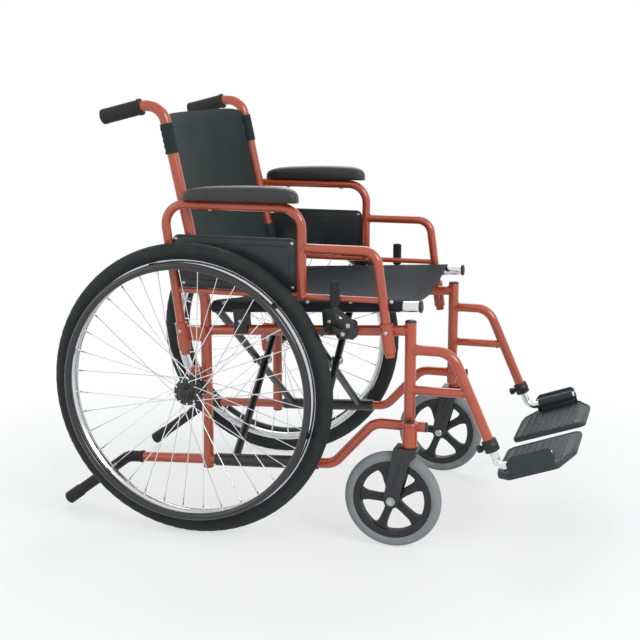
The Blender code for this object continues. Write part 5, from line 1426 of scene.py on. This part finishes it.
def lock_bracket():
    s = Shape()
    rail = rail_z(UPPER_RAIL_H, LOCK_Y)
    inner, length = RAIL_R + GAP, 0.026
    wall = [(inner, 0), (0.0142, 0), (0.0150, 0.0008), (0.0150, 0.0252), (0.0142, length), (inner, length)]
    lathe(s, wall, 40, facing(beside(LOCK_Y, rail) - FORWARD * length / 2, FORWARD))
    brick(s, (FRAME_X + 0.0135, LOCK_Y, rail), (0.0080, 0.026, 0.022), 0.0015)
    # ear of the clamp with its screw, under the rail
    brick(s, (FRAME_X + 0.001, LOCK_Y, rail - 0.0140), (0.0160, 0.022, 0.0065), 0.0012)
    bolt(s, (FRAME_X + 0.0085, LOCK_Y, rail - 0.0140), X, 0.0036, 0.0024, 1)
    f, r = LOCK_Y - 0.022, LOCK_Y + 0.022
    outline = rounded([(f, rail - 0.010), (f, rail + 0.026), (r, rail + 0.026), (r, rail - 0.016)], 0.007)
    solid(s, outline, 0, LOCK_T, 0.0008, on_plane_x(PLATE_X))
    for (y, z), tip in ((LOCK_PIVOT, LEVER_X + LOCK_T + 0.0006), (SHOE_PIVOT, SHOE_X + LOCK_T + 0.003)):
        rod(s, (PLATE_X + 0.002, y, z), (tip, y, z), 0.0029, 20, mat=1)
        bolt(s, (tip - 0.0002, y, z), X, 0.0046, 0.0022, 1)
    return s


def lock_lever():
    (py, pz), (ty, tz) = LOCK_PIVOT, LOCK_TIP
    outline = rounded([(py - 0.012, pz - 0.010), (py + 0.012, pz - 0.010), (py + 0.010, pz + 0.012),
                       (ty + 0.006, tz - 0.05), (ty + 0.0045, tz), (ty - 0.0045, tz), (ty - 0.006, tz - 0.05),
                       (py - 0.012, pz + 0.010)], [0.006, 0.006, 0.006, 0.01, 0.003, 0.003, 0.01, 0.006])
    return solid(Shape(), outline, 0, LOCK_T, 0.0008, on_plane_x(LEVER_X))


def lock_grip():
    """Rubber grip with finger ridges, flattened to the lever."""
    ty, tz = LOCK_TIP
    x0 = LEVER_X + LOCK_T / 2 + 0.0015
    low, high = tz - 0.046, tz + 0.004
    rows, around, verts = 45, 32, []
    for i in range(rows):
        f = i / (rows - 1)
        end = min(1.0, min(f, 1 - f) * 14)
        k = 0.55 + 0.45 * sqrt(max(0, 1 - (1 - end) ** 2))
        if 0.08 < f < 0.92:
            k *= 1 - 0.055 * (0.5 - 0.5 * cos(2 * pi * f * 8))
        for c, q in circle(around):
            x = x0 + 0.00475 * k * copysign(abs(c) ** 0.55, c)
            y = ty + 0.0100 * k * copysign(abs(q) ** 0.65, q)
            verts.append((x, y, low + (high - low) * f))
    return Shape().add(verts, ring_faces(rows, around))


def lock_shoe():
    s = Shape()
    pivot, shoe = vec(0, *SHOE_PIVOT), vec(0, SHOE_Y, SHOE_Z)
    along = (shoe - pivot).normalized()
    square = X.cross(along)
    outline = []
    for centre, r, start in ((pivot, 0.008, pi / 2), (shoe, 0.0052, -pi / 2)):
        for k in range(13):
            a = start + pi * k / 12
            p = centre + along * r * cos(a) + square * r * sin(a)
            outline.append((p.y, p.z))
    solid(s, outline, 0, LOCK_T, 0.0008, on_plane_x(SHOE_X))
    # knurled bar that meets the tyre
    start, end, around = SHOE_X + 0.001, WHEEL_X + TYRE_R, 36
    rows, verts = 58, []
    for i in range(rows):
        f = i / (rows - 1)
        bar_r = SHOE_R - (0.0014 if f in (0, 1) else 0)
        for k, (c, q) in enumerate(circle(around)):
            cut = sin(12 * 2 * pi * k / around + i * 0.9) > 0.2 and 0.12 < f < 0.95
            r = bar_r - 0.00035 * cut
            verts.append((start + (end - start) * f, SHOE_Y + r * c, SHOE_Z + r * q))
    return s.add(verts, ring_faces(rows, around))


pair("lock_bracket", lock_bracket(), [BLACK, STEEL], "%s_frame", "wheel_lock_bracket")
pair("lock_lever", lock_lever(), [BLACK], "brake_lever_%s", "wheel_lock_lever")
pair("lock_grip", lock_grip(), [GRIP], "brake_lever_%s", "wheel_lock_grip", 50)
pair("lock_shoe", lock_shoe(), [BLACK], "brake_shoe_%s", "wheel_lock_shoe", 50)


# Soft pieces on the frame

for piece in (seat_piece, seat_thread):
    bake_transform(piece)
for piece in (back_piece, back_thread):
    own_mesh(piece)


# Floor, light and camera

FLOOR_SIZE, FLOOR_Z = 30.0, -0.0006
floor_mesh = bpy.data.meshes.new("floor")
corners = [(x * FLOOR_SIZE, y * FLOOR_SIZE, 0) for x, y in ((-1, -1), (1, -1), (1, 1), (-1, 1))]
floor_mesh.from_pydata(corners, [], [(0, 1, 2, 3)])
floor = bpy.data.objects.new("floor", floor_mesh)
floor.location.z = FLOOR_Z
bpy.context.scene.collection.objects.link(floor)


def seen_rays(tree):
    """1 for rays from the camera, or that reach here by reflection or through glass."""
    path = add_node(tree, "LightPath", {}).outputs
    seen = math_node(tree, "MAXIMUM", path["Is Camera Ray"], path["Is Glossy Ray"])
    return math_node(tree, "MAXIMUM", seen, path["Is Transmission Ray"])


def floor_material():
    """Matt white that takes the chair's shadow, and plain white further out."""
    m, tree, shader = material("floor_white", (0.90, 0.90, 0.90), 0.9, specular=0.1)
    vector = coords(tree)
    tinted(tree, shader, noise_node(tree, vector, 3.0, 2), (0.895, 0.895, 0.895), (0.905, 0.905, 0.905))
    length = add_node(tree, "VectorMath", {0: vector}, operation="LENGTH").outputs["Value"]
    far = remap(tree, length, 0.6, 1.0, 0.65, 1.2)
    white = add_node(tree, "Emission", {"Color": (1, 1, 1, 1), "Strength": 1.0}).outputs["Emission"]
    share = math_node(tree, "MULTIPLY", far, seen_rays(tree))
    mixer = add_node(tree, "MixShader", {"Fac": share, 1: shader.outputs["BSDF"], 2: white})
    tree.links.new(mixer.outputs["Shader"], tree.nodes["Material Output"].inputs["Surface"])
    return m


floor_mesh.materials.append(floor_material())
floor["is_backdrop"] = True

world = bpy.data.worlds.new("studio")
bpy.context.scene.world = world
world.use_nodes = True
tree = world.node_tree
tree.nodes.clear()
soft = add_node(tree, "Background", {"Color": (0.94, 0.97, 1.0, 1), "Strength": 0.62}).outputs[0]
white = add_node(tree, "Background", {"Color": (1, 1, 1, 1), "Strength": 1.0}).outputs[0]
mixer = add_node(tree, "MixShader", {"Fac": seen_rays(tree), 1: soft, 2: white})
add_node(tree, "OutputWorld", {"Surface": mixer.outputs[0]})


def area_light(name, place, target_z, width, height, power):
    data = bpy.data.lights.new(name, "AREA")
    data.shape, data.size, data.size_y, data.energy = "RECTANGLE", width, height, power
    lamp = bpy.data.objects.new(name, data)
    lamp.location = place
    lamp.rotation_euler = (vec(0, 0, target_z) - Vector(place)).to_track_quat("-Z", "Y").to_euler()
    bpy.context.scene.collection.objects.link(lamp)


area_light("key", (-2.1, -3.5, 3.0), 0.4, 2.2, 1.8, 92)
area_light("fill", (-2.4, 2.8, 1.8), 0.4, 2.2, 1.8, 14)
area_light("rim", (2.6, 0.6, 2.8), 0.5, 2.0, 2.0, 34)

azimuth, elevation, distance = radians(-73.32), radians(11.73), 2.706
look = vec(-sin(azimuth) * cos(elevation), cos(azimuth) * cos(elevation), -sin(elevation))
aim = vec(0, AXLE_Y - 0.192, 0.406)
camera_data = bpy.data.cameras.new("camera")
camera_data.lens, camera_data.sensor_width = 68.7, 36
camera_data.clip_start, camera_data.clip_end = 0.05, 200
camera = bpy.data.objects.new("camera", camera_data)
camera.location = aim - look * distance
camera.rotation_euler = look.to_track_quat("-Z", "Y").to_euler()
bpy.context.scene.collection.objects.link(camera)
bpy.context.scene.camera = camera
bpy.context.scene.view_settings.view_transform = "Standard"

low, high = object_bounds()
{"cad": [list(cad_low), list(cad_high)], "scene": [list(low), list(high)]}
